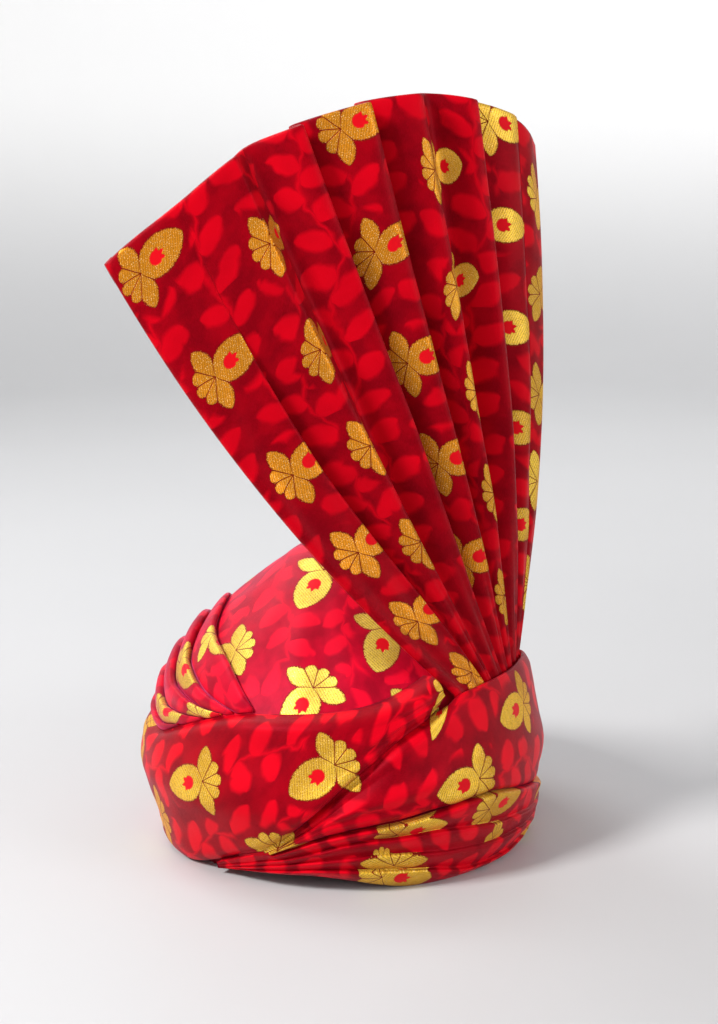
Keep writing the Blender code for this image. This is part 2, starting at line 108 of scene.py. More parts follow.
def curve(rows, index=1):
    """A function that reads one column of a table along a smooth curve through its rows."""
    places = np.array([row[0] for row in rows], dtype=float)
    values = np.array([row[index] for row in rows], dtype=float)
    slopes = np.gradient(values, places)

    def read(place):
        place = min(max(place, places[0]), places[-1])
        i = min(int(np.searchsorted(places, place, side="right")) - 1, len(places) - 2)
        span = places[i + 1] - places[i]
        t = (place - places[i]) / span
        rise = (values[i + 1] - values[i]) / span
        start, end = limited(slopes[i], rise), limited(slopes[i + 1], rise)
        return (values[i] * (1 + 2 * t) * (1 - t) ** 2 + values[i + 1] * t * t * (3 - 2 * t)
                + span * (start * t * (1 - t) ** 2 - end * t * t * (1 - t)))
    return read


def ease(value, low, high):
    """0 below low, 1 above high, and an even curve between."""
    t = min(max((value - low) / (high - low), 0.0), 1.0)
    return t * t * (3 - 2 * t)


def ring(angle, half_width, half_depth, height, shift=0.0):
    """A point at an angle round the turban."""
    turn = math.radians(angle)
    return np.array((shift + half_width * math.sin(turn), -half_depth * math.cos(turn), height))


def rumple(a, b, seed=0.0):
    """Soft, uneven ripples between -1 and 1, the same on every run."""
    return (0.45 * math.sin(1.7 * a + 2.3 * math.sin(0.9 * b + seed) + seed)
            + 0.33 * math.sin(3.1 * b + 1.9 * math.sin(1.3 * a - seed) + 2.1 * seed)
            + 0.22 * math.sin(4.3 * a - 3.7 * b + 3.3 * seed))


print("a quarter of the way up a soft step:", ease(0.25, 0, 1))

# %% [markdown]
# The crown's dome and the wraps' swelling side are profiles: how far out the cloth stands at each
# height. Reading them through a smooth curve gives cloth without corners. The wraps lie on what is
# under them, so their own profile never comes closer than the cloth that they cover.

# %% Profiles of the crown and the wraps
crown_out = curve((
    # (up, out)
    (0.000, 1.000), (0.340, 1.000), (0.400, 0.985), (0.470, 0.955), (0.540, 0.910), (0.610, 0.842),
    (0.680, 0.752), (0.755, 0.636), (0.835, 0.496), (0.915, 0.338), (0.975, 0.176), (1.000, 0.020),
))
WRAP_ROWS = (
    # (up, out, lean)
    (0.000, 0.903, 1.00), (0.090, 0.922, 1.00), (0.170, 0.940, 0.94), (0.265, 0.962, 0.52),
    (0.345, 0.980, 0.26), (0.440, 1.000, 0.06), (0.540, 0.990, 0.18), (0.650, 0.963, 0.28),
    (0.770, 0.936, 0.44), (0.900, 0.903, 0.70), (0.980, 0.870, 0.80), (1.070, 0.845, 0.80),
    (1.150, 0.820, 0.80),
)
wrap_out = curve(WRAP_ROWS, 1)
wrap_lean = curve(WRAP_ROWS, 2)
turns_inset = curve(((0.0, 0.34), (0.14, 0.20), (0.25, 0.08), (0.33, 0.0), (0.72, 0.0),
                     (0.88, 0.16), (0.97, 0.38), (1.0, 0.66)))


def crown_at(angle, height, off=0.0):
    """A point on the crown's cloth, or standing off it along its normal."""
    up = height / BODY_HEIGHT
    share = crown_out(up)
    fall = (crown_out(up + 0.03) - crown_out(up - 0.03)) * sum(CROWN) / 2
    slope = math.atan2(-fall, 0.06 * BODY_HEIGHT)
    out = off * math.cos(slope)
    return ring(angle, CROWN[0] * share + out, CROWN[1] * share + out, height + off * math.sin(slope))


def bed(height):
    """Half widths of what the wraps lie on: the crown's skirt, and under it the wound turns."""
    inset = turns_inset(height / TURNS_HEIGHT)
    turns = [TURNS[i] - (TURNS[i] - HEAD[i]) * inset for i in (0, 1)]
    over = ease(height, 0.011, 0.023)
    return [turns[i] + (CROWN[i] * crown_out(height / BODY_HEIGHT) - turns[i]) * over for i in (0, 1)]


print("crown half way up:", crown_at(0, BODY_HEIGHT / 2).round(4))

# %% [markdown]
# One ribbon makes both outer turns. It starts narrow at the lower left of the front, climbs over
# the right side, goes round the back and comes over the front again as the band. Its two edges
# are all that has to be said about it. Where the band lies on its own first turn, the two meet edge
# to edge in a slanting fold. Under it, the lower wrap is a fan of pleats that starts at a point.

# %% Edges of the wraps, as shares of the band's height
upper_edge = curve((
    (-22, 0.215), (-15, 0.310), (-8, 0.420), (0, 0.570), (8, 0.690), (16, 0.795), (26, 0.885),
    (36, 0.980), (45, 1.000), (58, 1.010), (75, 1.010), (90, 0.985), (120, 0.930), (150, 0.880),
    (180, 0.830), (210, 0.765), (240, 0.690), (255, 0.650), (280, 0.635), (292, 0.655), (298, 0.700),
    (305, 0.755), (312, 0.805), (321, 0.860), (329, 0.895), (338, 0.912), (352, 0.932), (360, 0.946),
    (368, 0.965), (376, 0.995), (384, 1.035), (391, 1.070),
))
first_lower_edge = curve((
    (-22, 0.190), (-15, 0.245), (-8, 0.300), (0, 0.345), (8, 0.375), (16, 0.395), (26, 0.425),
    (36, 0.450), (45, 0.455), (58, 0.405), (75, 0.320), (90, 0.250), (120, 0.200), (150, 0.155),
    (180, 0.110), (210, 0.065), (240, 0.020), (255, 0.000), (305, 0.005), (312, 0.035),
    (321, 0.095), (329, 0.155), (338, 0.215),
))
RIM_ROWS = (
    # (angle, foot, crease low, crease middle, crease high, crease depth)
    (-48, 0.000, 0.006, 0.012, 0.018, 0.05), (-42, 0.028, 0.033, 0.040, 0.048, 0.10),
    (-34, 0.048, 0.060, 0.075, 0.090, 0.25), (-26, 0.060, 0.085, 0.110, 0.135, 0.40),
    (-18, 0.072, 0.105, 0.140, 0.175, 0.60), (-10, 0.080, 0.125, 0.175, 0.222, 0.80),
    (0, 0.062, 0.130, 0.205, 0.280, 0.95), (8, 0.034, 0.125, 0.220, 0.305, 1.00),
    (16, 0.008, 0.115, 0.218, 0.312, 1.00), (26, 0.000, 0.095, 0.200, 0.320, 1.00),
    (36, 0.000, 0.055, 0.185, 0.300, 1.00), (46, 0.000, 0.040, 0.165, 0.272, 0.95),
    (60, 0.000, 0.045, 0.150, 0.240, 0.80), (75, 0.000, 0.055, 0.125, 0.200, 0.60),
    (90, 0.000, 0.055, 0.115, 0.180, 0.40), (120, 0.000, 0.045, 0.095, 0.145, 0.22),
    (150, 0.000, 0.036, 0.073, 0.110, 0.12), (180, 0.000, 0.025, 0.050, 0.076, 0.08),
    (205, 0.000, 0.016, 0.032, 0.048, 0.04),
)
rim_marks = [curve(RIM_ROWS, i) for i in range(1, 6)]


def high_edge(angle):
    """The height of the ribbon's upper edge, counted on through both turns."""
    return BAND_HEIGHT * upper_edge(angle)


def low_edge(angle):
    """The height of its lower edge, which on the second turn lies on the first turn's upper edge."""
    if angle < 338:
        return BAND_HEIGHT * first_lower_edge(angle)
    return high_edge(angle - 360) + 0.0006


def facing_angle(angle):
    """The same angle, from -180 to 180."""
    return (angle + 180) % 360 - 180


def neck_hold(angle):
    """1 where the wrap holds the fan's neck, and 0 away from it."""
    turn = facing_angle(angle)
    return ease(turn, 24, 33) * (1 - ease(turn, 91, 100))


def band_top(angle):
    """The height of the top edge that is seen from outside, at any angle."""
    turn = angle % 360
    return high_edge(turn + 360 if turn < 30 else turn)


print("the band is", round(1000 * (high_edge(350) - low_edge(350))), "mm wide near the front")

# %% Lay a point on the wraps
def heel(angle, height):
    """The swell of the band's foot at the lower left."""
    turn = facing_angle(angle)
    round_it = ease(turn, -100, -62) * (1 - ease(turn, -58, -34))
    return 0.0060 * round_it * (1 - ease(height, 0.05 * BAND_HEIGHT, 0.40 * BAND_HEIGHT))


def wrap_face(height, held):
    """Half widths of the wraps' outside. Where the neck is held, the wrap stands further out."""
    share = wrap_out(height / BAND_HEIGHT)
    faces = []
    for i in (0, 1):
        profile = WRAPS[i] * share
        laid = min(profile, bed(height)[i] + LAYER_GAP + WRAP_THICK)
        faces.append(laid + (profile - laid) * held)
    return faces


def on_wrap(angle, height, set_back, held):
    """A point on a wrap's outside, drawn in by set_back but never into what it lies on."""
    face = wrap_face(height, held)
    under = bed(height)
    swell = heel(angle, height) - set_back
    halves = [max(face[i] + swell, under[i] + 0.0016) for i in (0, 1)]
    return ring(angle, halves[0], halves[1], height, LEAN * wrap_lean(height / BAND_HEIGHT))


def under_wrap(angle, height, held):
    """A point on the side of a wrap that lies on the turban, or on the fan's neck."""
    under = [half + LAYER_GAP for half in bed(height)]
    face = wrap_face(height, held)
    step = high_edge(facing_angle(angle)) - NECK_STEP
    neck = held * ease(height, step - 0.005, step)
    halves = [under[i] + (face[i] - HELD_WALL - under[i]) * neck for i in (0, 1)]
    return ring(angle, halves[0], halves[1], height, LEAN * wrap_lean(height / BAND_HEIGHT) * neck)


print("widest place of the wraps:", on_wrap(90, 0.048, 0, 0).round(4))

# %% [markdown]
# Every piece is sewn in the same way: rows of points become a mesh, and each point also knows its
# place on the flat cloth, in centimetres. That map is what the woven leaf scroll follows. Folding
# cloth this way, from its flat size, keeps leaves and threads as large on a pleat as on the crown.

# %% Sew rows of points into cloth
def sew(name, rows, flat, around=False, round_again=False, capped=False):
    """Join rows of points into one mesh. `flat` holds each point's place on the flat cloth."""
    rows = np.asarray(rows, dtype=float)
    flat = np.asarray(flat, dtype=float) * 100
    count, wide = rows.shape[:2]
    faces = []
    for i in range(count - 1):
        for j in range(wide if around else wide - 1):
            k = (j + 1) % wide
            faces.append((i * wide + j, i * wide + k, (i + 1) * wide + k, (i + 1) * wide + j))
    if capped:
        for start in (0, (count - 1) * wide):
            i, j = 0, wide - 1
            while j - i > 1:
                rung = (i, i + 1, j - 1, j) if j - i > 2 else (i, i + 1, j)
                faces.append(tuple(start + n for n in rung))
                i, j = i + 1, j - 1
    mesh = bpy.data.meshes.new(name)
    mesh.from_pydata(rows.reshape(-1, 3).tolist(), [], faces)
    places = flat.reshape(-1, 2)
    corners = np.empty(len(mesh.loops), dtype=np.int32)
    mesh.loops.foreach_get("vertex_index", corners)
    mesh.uv_layers.new(name="cloth").data.foreach_set("uv", places[corners].ravel())
    tidy = bmesh.new()
    tidy.from_mesh(mesh)
    if round_again:
        bmesh.ops.remove_doubles(tidy, verts=tidy.verts[:], dist=0.00002)
    bmesh.ops.recalc_face_normals(tidy, faces=tidy.faces[:])
    tidy.to_mesh(mesh)
    tidy.free()
    mesh.shade_smooth()
    piece = bpy.data.objects.new(name, mesh)
    bpy.context.scene.collection.objects.link(piece)
    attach(piece, "root")
    return piece


def give_thickness(piece, thick, inward=-1.0):
    """Turn a single layer into cloth with two sides."""
    layer = piece.modifiers.new("two sides", "SOLIDIFY")
    layer.thickness = thick
    layer.offset = inward


def lengths_across(loop):
    """How far each point of a row is from its first one, along the cloth."""
    steps = np.linalg.norm(np.diff(loop, axis=0), axis=1)
    return np.concatenate([[0.0], np.cumsum(steps)])


print("sewing helpers ready")

# %% [markdown]
# Inside is what the head touches: several metres of the plain end of the cloth, wound round and
# round. It could be a coil of tubes, but wound cloth presses flat, so one ring is laid with a
# shallow roll for each turn. The rolls climb as they go round, as one long winding does.

# %% Wind the inner turns
def closing(angle):
    """0 at the back, where a piece that goes all the way round meets itself, and 1 away from it."""
    return ease(180 - abs(angle), 0, 24)


def wound_roll(height, angle):
    """How far a roll of the winding stands out, from 0 in a groove to 1 on a roll."""
    return abs(math.sin(math.pi * (height / 0.0125 + angle / 360))) ** 0.6


rim_foot = rim_marks[0]
turn_rows, turn_flat = [], []
for angle in np.arange(-180, 181, 3.0):
    lift = BAND_HEIGHT * rim_foot(angle)
    rise = TURNS_HEIGHT - lift
    outside, hollow = [], []
    for up in np.linspace(0, 1, 22):
        height = lift + rise * up
        drawn = max(turns_inset(up), turns_inset(height / TURNS_HEIGHT))
        roll = 0.0006 * (1 - wound_roll(height, angle))
        half = [TURNS[i] - (TURNS[i] - HEAD[i]) * drawn - roll for i in (0, 1)]
        outside.append(ring(angle, *half, height))
    for up in np.linspace(0.992, 0.0, 40):
        height = lift + rise * up
        soft_end = 0.10 * (1 - ease(up, 0.0, 0.05)) + 0.30 * ease(up, 0.86, 0.99) ** 2
        roll = 0.0019 * (1 - wound_roll(height, angle))
        roll += 0.0004 * rumple(angle / 14, height * 90) * closing(angle)
        half = [HEAD[i] + (TURNS[i] - HEAD[i]) * soft_end + max(roll, 0) for i in (0, 1)]
        hollow.append(ring(angle, *half, height))
    loop = np.array(outside + hollow)
    turn_rows.append(loop)
    turn_flat.append([(across, 0.098 * math.radians(angle)) for across in lengths_across(loop)])
inner = sew("wound_turns", turn_rows, turn_flat, around=True, round_again=True)
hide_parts("inner_turns")
print("wound turns:", len(inner.data.polygons), "faces")

# %% [markdown]
# The crown is one square of brocade pulled smooth over the top. A hemisphere would look like a
# cap, so the dome keeps the profile of the frame, and it gets what pulled cloth has: a little
# slackness, and faint folds that run from the pleats up towards the top.

# %% Stretch the crown
def crown_slack(angle, up):
    """How far the crown's cloth stands off its smooth form."""
    seen = ease(up, 0.50, 0.62)
    pull = math.exp(-((facing_angle(angle) + 20) / 26) ** 2) * (1 - ease(up, 0.62, 0.95))
    folds = 0.0009 * pull * math.sin(math.radians(angle) * 16 + 9 * up)
    waves = 0.0007 * rumple(angle / 22, up * 6, 0.7) * closing(angle)
    return seen * (folds + waves * (1 - ease(up, 0.9, 1)))


crown_rows, crown_flat = [], []
for angle in np.arange(-180, 181, 2.0):
    column = [crown_at(angle, BODY_HEIGHT * up, crown_slack(angle, up))
              for up in (*np.linspace(0.14, 0.50, 7), *np.linspace(0.53, 0.94, 32),
                         0.955, 0.968, 0.979, 0.988, 0.995, 0.999)]
    column.append(np.array((0.0, 0.0, BODY_HEIGHT)))
    reach = lengths_across(np.array(column))
    turn = math.radians(angle)
    crown_rows.append(column)
    crown_flat.append([((reach[-1] - at) * math.sin(turn), (reach[-1] - at) * math.cos(turn))
                       for at in reach])
crown = sew("crown_cloth", crown_rows, crown_flat, round_again=True)
give_thickness(crown, 0.0022)
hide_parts("crown_cover")
crown_reach = lengths_across(np.array(crown_rows[0]))[-1]
print("crown cloth reaches", round(1000 * crown_reach), "mm from the top to its foot")

# %% [markdown]
# On the wearer's right flank the spare cloth of the crown is gathered into pleats. Each is a strip
# folded over along its upper edge, and each lower one lies over the one above. Cutting grooves in
# the dome would leave no real edges, so every pleat is a strip of its own with a rolled fold.

# %% Fold the crown's pleats
PLEAT_ROWS = (
    # (front angle, back angle, height of the fold at 1/10, 1/4, 1/2, 3/4 and 9/10 of its length)
    (-27, -166, 0.26, 0.49, 0.63, 0.43, 0.17),
    (-34, -157, 0.13, 0.34, 0.52, 0.34, 0.12),
    (-38, -149, 0.08, 0.23, 0.365, 0.23, 0.08),
    (-45, -140, 0.05, 0.135, 0.215, 0.13, 0.05),
    (-56, -130, 0.028, 0.055, 0.070, 0.055, 0.028),
)


def pleat_fold(index, angle):
    """The height of a pleat's folded edge, or of the band's top past the pleat's ends."""
    top = band_top(angle)
    if index >= len(PLEAT_ROWS):
        return top
    front, back = PLEAT_ROWS[index][:2]
    along = (angle - front) / (back - front)
    if not 0 < along < 1:
        return top
    stations = (0.0, 0.10, 0.25, 0.50, 0.75, 0.90, 1.0)
    shares = (0.0, *PLEAT_ROWS[index][2:], 0.0)
    return top + curve(tuple(zip(stations, shares)))(along) * (BODY_HEIGHT - top)


# across a crown pleat, from its low side to its fold: how far up, how far it stands off; then its back
PLEAT_FACE = ((-0.02, 0.06), (0.05, 0.24), (0.18, 0.48), (0.33, 0.68), (0.50, 0.85), (0.66, 0.96),
              (0.80, 1.02), (0.90, 1.00), (0.96, 0.90), (1.0, 0.70), (1.01, 0.46), (0.99, 0.24))
PLEAT_BACK = (0.96, 0.60, 0.25, 0.0)


def fold_pleat(index):
    """One pleat: it lies low along its lower side and rolls over along its upper edge."""
    front, back = PLEAT_ROWS[index][:2]
    rows, flat = [], []
    for angle in np.linspace(back + 1.5, front - 1.5, 96):
        low = pleat_fold(index + 1, angle) + 0.0004
        high = max(pleat_fold(index, angle), low + 0.0008)
        proud = 0.0050 * (0.40 + 0.60 * ease(high - low, 0.001, 0.010))
        if index == 0:
            # the highest pleat thins out where it meets the outline of the dome
            proud *= 1 - 0.45 * ease(-angle, 62, 92)
        loop = []
        for across, stand in PLEAT_FACE:
            wave = 0.07 * rumple(angle / 14, across * 2 + 2 * index, index)
            off = 0.0008 + proud * max(stand + wave * ease(across, 0, 0.5), 0.05)
            loop.append(crown_at(angle, low + (high - low) * across, off))
        loop += [crown_at(angle, low + (high - low) * across, 0.0006) for across in PLEAT_BACK]
        rows.append(loop)
        at = 0.11 * math.radians(angle)
        flat.append([(0.05 * index + across, at) for across in lengths_across(np.array(loop))])
    piece = sew(f"pleat_{index + 1}", rows, flat, around=True, capped=True)
    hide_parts(f"crown_pleat_{index + 1}")
    return piece, rows, flat


pleat_cloths = [fold_pleat(index) for index in range(len(PLEAT_ROWS))]
pleats = [piece for piece, _, _ in pleat_cloths]
print("pleats:", [piece.name for piece in pleats])

# %% [markdown]
# The lower wrap is the same cloth, folded into pleats that fan out from a point at the lower left.
# Each pleat's upper edge stands proud and the next one dives under it, which is what gives the
# thin dark lines. Its foot is arched off the table over the left of the forehead.

# %% Fold the lower wrap
# across a strip of it, from the crease at its foot to the fold at its top: how far up, how far in
RIM_FOLD = ((0.0, 1.0), (0.10, 0.80), (0.24, 0.55), (0.42, 0.30), (0.60, 0.13), (0.76, 0.03), (0.88, 0.0),
            (0.95, 0.10), (0.99, 0.35))
rim_depth = rim_marks[4]

rim_rows, rim_flat = [], []
for angle in np.arange(-42, 205.1, 1.3):
    above = angle if angle >= -22 else angle + 360
    top = low_edge(above) - 0.0006
    depth = 0.0040 * rim_depth(angle)
    creases = [BAND_HEIGHT * rim_marks[i](angle) for i in range(4)] + [top]
    loop = []
    for number, (low, high) in enumerate(zip(creases, creases[1:])):
        sink = 0.0040 if number == 0 else depth
        for across, deep in RIM_FOLD:
            drawn = sink * deep if across < 0.9 else depth * deep
            wave = 0.0005 * rumple(angle / 7, number * 2.4 + across, 1.1) * (1 - deep)
            loop.append(on_wrap(angle, low + (high - low) * across, drawn + wave + 0.0002, 0.0))
    loop.append(on_wrap(angle, creases[-1], depth + 0.0030, 0.0))
    loop += [under_wrap(angle, height, 0.0) for height in np.linspace(creases[-1], creases[0], 5)]
    rim_rows.append(loop)
    rim_flat.append([(across, 0.127 * math.radians(angle)) for across in lengths_across(np.array(loop))])
rim = sew("lower_wrap", rim_rows, rim_flat, around=True, capped=True)
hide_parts("rim_wrap")
print("lower wrap:", len(rim.data.polygons), "faces")

# %% [markdown]
# The outer wrap is the piece that the eye reads first. It is laid as one long ribbon with rounded
# folded edges. Where the band comes back over its own start, each edge in turn is pressed down
# under the other, so the slanting fold between them changes sides half way up, as it does when
# cloth is tucked by hand.

# %% Carry the outer wrap round
EDGE_ROLL = ((0.0, 0.82), (0.07, 0.60), (0.18, 0.38), (0.36, 0.19), (0.62, 0.06), (1.0, 0.0))


def band_slack(angle, across):
    """Soft hollows and drawn folds in the outer wrap's face."""
    drawn = math.exp(-((angle - 12) / 20) ** 2) + 0.8 * math.exp(-((angle - 366) / 22) ** 2)
    folds = 0.0004 * drawn * math.sin(across * 13 + angle * 0.05)
    round_it = 0.0011 * rumple(angle / 19, across * 2.3, 0.4)
    return folds + round_it


wrap_rows, wrap_flat = [], []
for angle in (*np.arange(-22, 391, 1.6), 391.0):
    low, high = low_edge(angle), high_edge(angle)
    width = high - low
    held = neck_hold(angle) if angle < 180 else 0.0
    roll = min(0.0070, 0.34 * width)
    top_sunk = 0.0044 * (1 - ease(angle, 4, 18))
    foot_sunk = 0.0046 * ease(angle, 364, 380) + 0.0026 * (1 - ease(angle, 110, 150)) * ease(angle, -10, 20)
    grounded = 0.5 * (1 - ease(low, 0.0, 0.06 * BAND_HEIGHT))
    loop = []
    for into, drawn in EDGE_ROLL:
        back = WRAP_THICK * drawn * (1 - 0.6 * held) * (1 - grounded)
        loop.append(on_wrap(angle, low + roll * into, back + foot_sunk, held))
    for across in np.linspace(0.08, 0.92, 15):
        sunk = foot_sunk * (1 - ease(across, 0.0, 0.35)) + top_sunk * ease(across, 0.45, 1.0)
        slack = band_slack(angle, across) * math.sin(math.pi * across) * (1 - 0.8 * held)
        loop.append(on_wrap(angle, low + roll + (width - 2 * roll) * across, sunk + 0.0006 + slack, held))
    wall = WRAP_THICK + (0.0020 - WRAP_THICK) * held
    for into, drawn in EDGE_ROLL[::-1]:
        loop.append(on_wrap(angle, high - roll * into, wall * drawn + top_sunk, held))
    step = high_edge(facing_angle(angle)) - NECK_STEP
    if held:
        heights = sorted((*np.linspace(low, high, 8), step, step - 0.005), reverse=True)
    else:
        heights = np.linspace(high, low, 10)
    loop += [under_wrap(angle, min(max(height, low), high), held) for height in heights]
    wrap_rows.append(loop)
    slant = 0.127 * math.radians(angle)
    wrap_flat.append([(0.3 + across, slant) for across in lengths_across(np.array(loop))])
wrap = sew("outer_turn", wrap_rows, wrap_flat, around=True, capped=True)
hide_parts("outer_wrap")
print("outer wrap:", len(wrap.data.polygons), "faces")

# %% [markdown]
# The fan is the free end of the cloth. It is pleated lengthways, starched, and held at its foot by
# the outer wrap, so the folds stand close at the neck and spread towards the hem. Each pleat is a
# knife pleat: its right edge is a sharp fold, and behind it the cloth turns back under before the
# next face begins. That hidden turn is modelled too, because its dark slit draws the whole fan.

# %% The fan's folds, from its left edge to its right edge
FAN_LENGTH = 0.333   # its longest fold
FAN_ROWS = 84        # rows of points from the top of the neck to the hem
FORM_ROWS = (
    # (place in the neck, lean in degrees, length, reach to the front, bow)
    (0.00, 37.5, 0.925, 0.066, 0.032), (0.15, 30.4, 0.950, 0.080, 0.034),
    (0.28, 24.0, 0.984, 0.084, 0.014), (0.41, 18.2, 0.998, 0.080, 0.010),
    (0.54, 11.7, 1.005, 0.064, 0.000), (0.66, 7.6, 0.999, 0.046, -0.006),
    (0.78, 3.2, 0.974, 0.024, -0.012), (0.90, 0.3, 0.948, 0.004, -0.018),
    (1.00, -1.2, 0.914, -0.012, -0.026),
)
FOLD_ROWS = (
    # (fold's place at the neck, near it, half way up, at the hem, depth of the pleat after it)
    (0.00, 0.00, 0.00, 0.00, 0.45), (0.25, 0.22, 0.165, 0.155, 0.50), (0.33, 0.31, 0.285, 0.265, 0.60),
    (0.47, 0.44, 0.42, 0.39, 0.75), (0.57, 0.54, 0.515, 0.500, 0.85), (0.66, 0.635, 0.610, 0.605, 0.85),
    (0.80, 0.775, 0.750, 0.735, 0.65), (0.92, 0.90, 0.875, 0.865, 0.30), (1.00, 1.00, 1.00, 1.00, 0.00),
)
fan_lean, fan_length, fan_reach, fan_bow = (curve(FORM_ROWS, i) for i in (1, 2, 3, 4))
fold_places = [curve(tuple(zip((0.0, 0.14, 0.5, 1.0), row[:4]))) for row in FOLD_ROWS]


def neck_at(place, up=1.0):
    """A point in the middle of the gathered neck, from its root (0) to the top of the wrap (1)."""
    angle = 36 + 52 * place
    height = high_edge(angle) - NECK_TUCK * (1 - up)
    face = wrap_face(height, 1.0)
    depth = 0.0031 + 0.0049 * up
    turn = math.radians(angle)
    outward = np.array((math.sin(turn), -math.cos(turn), 0.0))
    return ring(angle, face[0] - 0.0034, face[1] - 0.0034, height,
                LEAN * wrap_lean(height / BAND_HEIGHT)) - outward * depth / 2


def fan_form(place, along):
    """The smooth form that the pleats are folded on."""
    lean = math.radians(fan_lean(place))
    up_it = np.array((-math.sin(lean), 0.0, math.cos(lean)))
    left = np.array((-math.cos(lean), 0.0, -math.sin(lean)))
    bow = fan_bow(place) * 4 * along * (1 - along)
    forward = fan_reach(place) * along + 0.045 * (1 - place) * math.sin(math.pi * along)
    return neck_at(place) + FAN_LENGTH * (up_it * fan_length(place) * along + left * bow
                                          - np.array((0.0, forward, 0.0)))


def level_front(start, end):
    """The level direction that the cloth between two points faces."""
    across = end - start
    return np.array((across[1], -across[0], 0.0)) / math.hypot(across[0], across[1])


print("tallest fold ends at", fan_form(0.54, 1.0).round(3))

# %% Fold the fan
# across a pleat, from the fold on its left to its own fold: how far over, how deep behind the folds
KNIFE = ((0.012, 0.06), (0.004, 0.20), (-0.030, 0.36), (-0.080, 0.56), (-0.105, 0.78), (-0.070, 0.95),
         (0.010, 1.0), (0.090, 0.93), (0.19, 0.79), (0.30, 0.62), (0.42, 0.44), (0.54, 0.29),
         (0.66, 0.16), (0.78, 0.06), (0.87, 0.01), (0.94, 0.0), (0.98, 0.03), (1.0, 0.08))
# towards the hem the third and the sixth pleat ease into open waves
WAVE = ((0.020, 0.10), (0.045, 0.22), (0.075, 0.37), (0.110, 0.54), (0.150, 0.72), (0.190, 0.86),
        (0.240, 0.96), (0.300, 1.0), (0.37, 0.96), (0.44, 0.85), (0.51, 0.70), (0.59, 0.52),
        (0.68, 0.33), (0.77, 0.16), (0.86, 0.05), (0.93, 0.0), (0.98, 0.01), (1.0, 0.03))
FIRST_EDGE = ((0.10, 0.42), (0.03, 0.36), (-0.004, 0.24), (0.0, 0.12), (0.03, 0.03), (0.10, 0.0),
              (0.20, 0.03), (0.30, 0.08), (0.40, 0.10), (0.52, 0.10), (0.64, 0.07), (0.76, 0.04),
              (0.87, 0.01), (0.95, 0.0), (0.985, 0.0), (1.0, 0.02))
LAST_EDGE = ((1.006, 0.10), (0.985, 0.20), (0.93, 0.27))


def opened(number, along):
    """How far a pleat has opened out: only the second one does, towards the hem."""
    return ease(along, 0.55, 0.85) if number == 1 else 0.0


def pleat_depth(number, up, along):
    """How deep a pleat is: gathered at the neck, and opening out towards the hem."""
    gathered = 0.0031 + 0.0049 * up - HELD_WALL
    spread = (0.021 - 0.006 * ease(along, 0.45, 1.0)) * FOLD_ROWS[number][4] * (1 - opened(number, along))
    return gathered + (spread - gathered) * ease(along, 0.0, 0.32)


def fan_row(up, along):
    """One row across the whole fan: points, the directions they face, and places on the cloth."""
    form = (lambda place: fan_form(place, along)) if up >= 1 else (lambda place: neck_at(place, up))
    whole = level_front(form(0.0), form(1.0))
    points, fronts, flat = [], [], []
    done = 0.0
    for number in range(len(FOLD_ROWS) - 1):
        first, last = fold_places[number](along), fold_places[number + 1](along)
        depth = pleat_depth(number, up, along)
        before = pleat_depth(max(number - 1, 0), up, along)
        after = pleat_depth(min(number + 1, len(FOLD_ROWS) - 2), up, along)
        shape = FIRST_EDGE if number == 0 else KNIFE
        shape += LAST_EDGE if number == len(FOLD_ROWS) - 2 else ()
        start = len(points)
        waved = ease(along, 0.10, 0.60) if number in (2, 5) else 0.0
        for step, (over, deep) in enumerate(shape):
            if number and step < 6:
                over += (0.0015 * (step + 1) - over) * opened(number, along)
            if waved:
                over += (WAVE[step][0] - over) * waved
                deep += (WAVE[step][1] - deep) * waved
            place = first + (last - first) * over
            near = min(max(place, 0.02), 0.98)
            front = level_front(form(near - 0.02), form(near + 0.02)) + whole
            front /= np.linalg.norm(front)
            side = min(max(over, 0.0), 1.0)
            proud = 0.25 * ((before + depth) * (1 - side) + (depth + after) * side)
            fine = 0.0012 * math.sin(4 * math.pi * side) * (1 - ease(along, 0.05, 0.40)) * up
            slack = 0.0010 * rumple(place * 26, along * 5, 0.3) * ease(along, 0.05, 0.3) * (1 - deep)
            inside = min(max(place, 0.0), 1.0)
            past_edge = (form(near + 0.02) - form(near - 0.02)) * (place - inside) / 0.04
            points.append(form(inside) + past_edge + front * (proud - depth * deep + fine + slack))
            fronts.append(front)
        width = lengths_across(np.array(points[start:]))
        # the cloth is as wide at the neck as at the hem: what doesn't show is in the hidden turn
        hidden = 5 if number else 0
        spare = ((0.058 if number else 0.050) - width[-1]) * (1 - opened(number, along))
        flat += [done + across + spare * (i >= hidden) for i, across in enumerate(width)]
        done += width[-1] + spare
    return points, fronts, flat


fan_rows, fan_flat = [], []
stations = [(0.0, 0.0), (0.5, 0.0)] + [(1.0, along) for along in np.linspace(0, 1, FAN_ROWS)]
for up, along in stations:
    points, fronts, flat = fan_row(up, along)
    fan_rows.append(points)
    fan_flat.append([(across, FAN_LENGTH * along - 0.02 * (1 - up)) for across in flat])
# the hem: the top edge rolls over to the back
HEM_ROLL = ((0.0010, 0.0005), (0.0012, 0.0013), (0.0, 0.0020), (-0.0050, 0.0023), (-0.0100, 0.0021))
top, down = np.array(fan_rows[-1]), np.array(fan_rows[-4])
back = -np.array(fronts)
rise = (top - down) / np.linalg.norm(top - down, axis=1, keepdims=True)
for over, behind in HEM_ROLL:
    fan_rows.append(top + rise * over + back * behind)
    fan_flat.append([(across, FAN_LENGTH + 0.002 + behind) for across in flat])
fan = sew("standing_fan", fan_rows, fan_flat)
give_thickness(fan, 0.0011, 0.0)
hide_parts("fan")
print("fan:", len(fan.data.polygons), "faces in", len(FOLD_ROWS) - 1, "pleats")

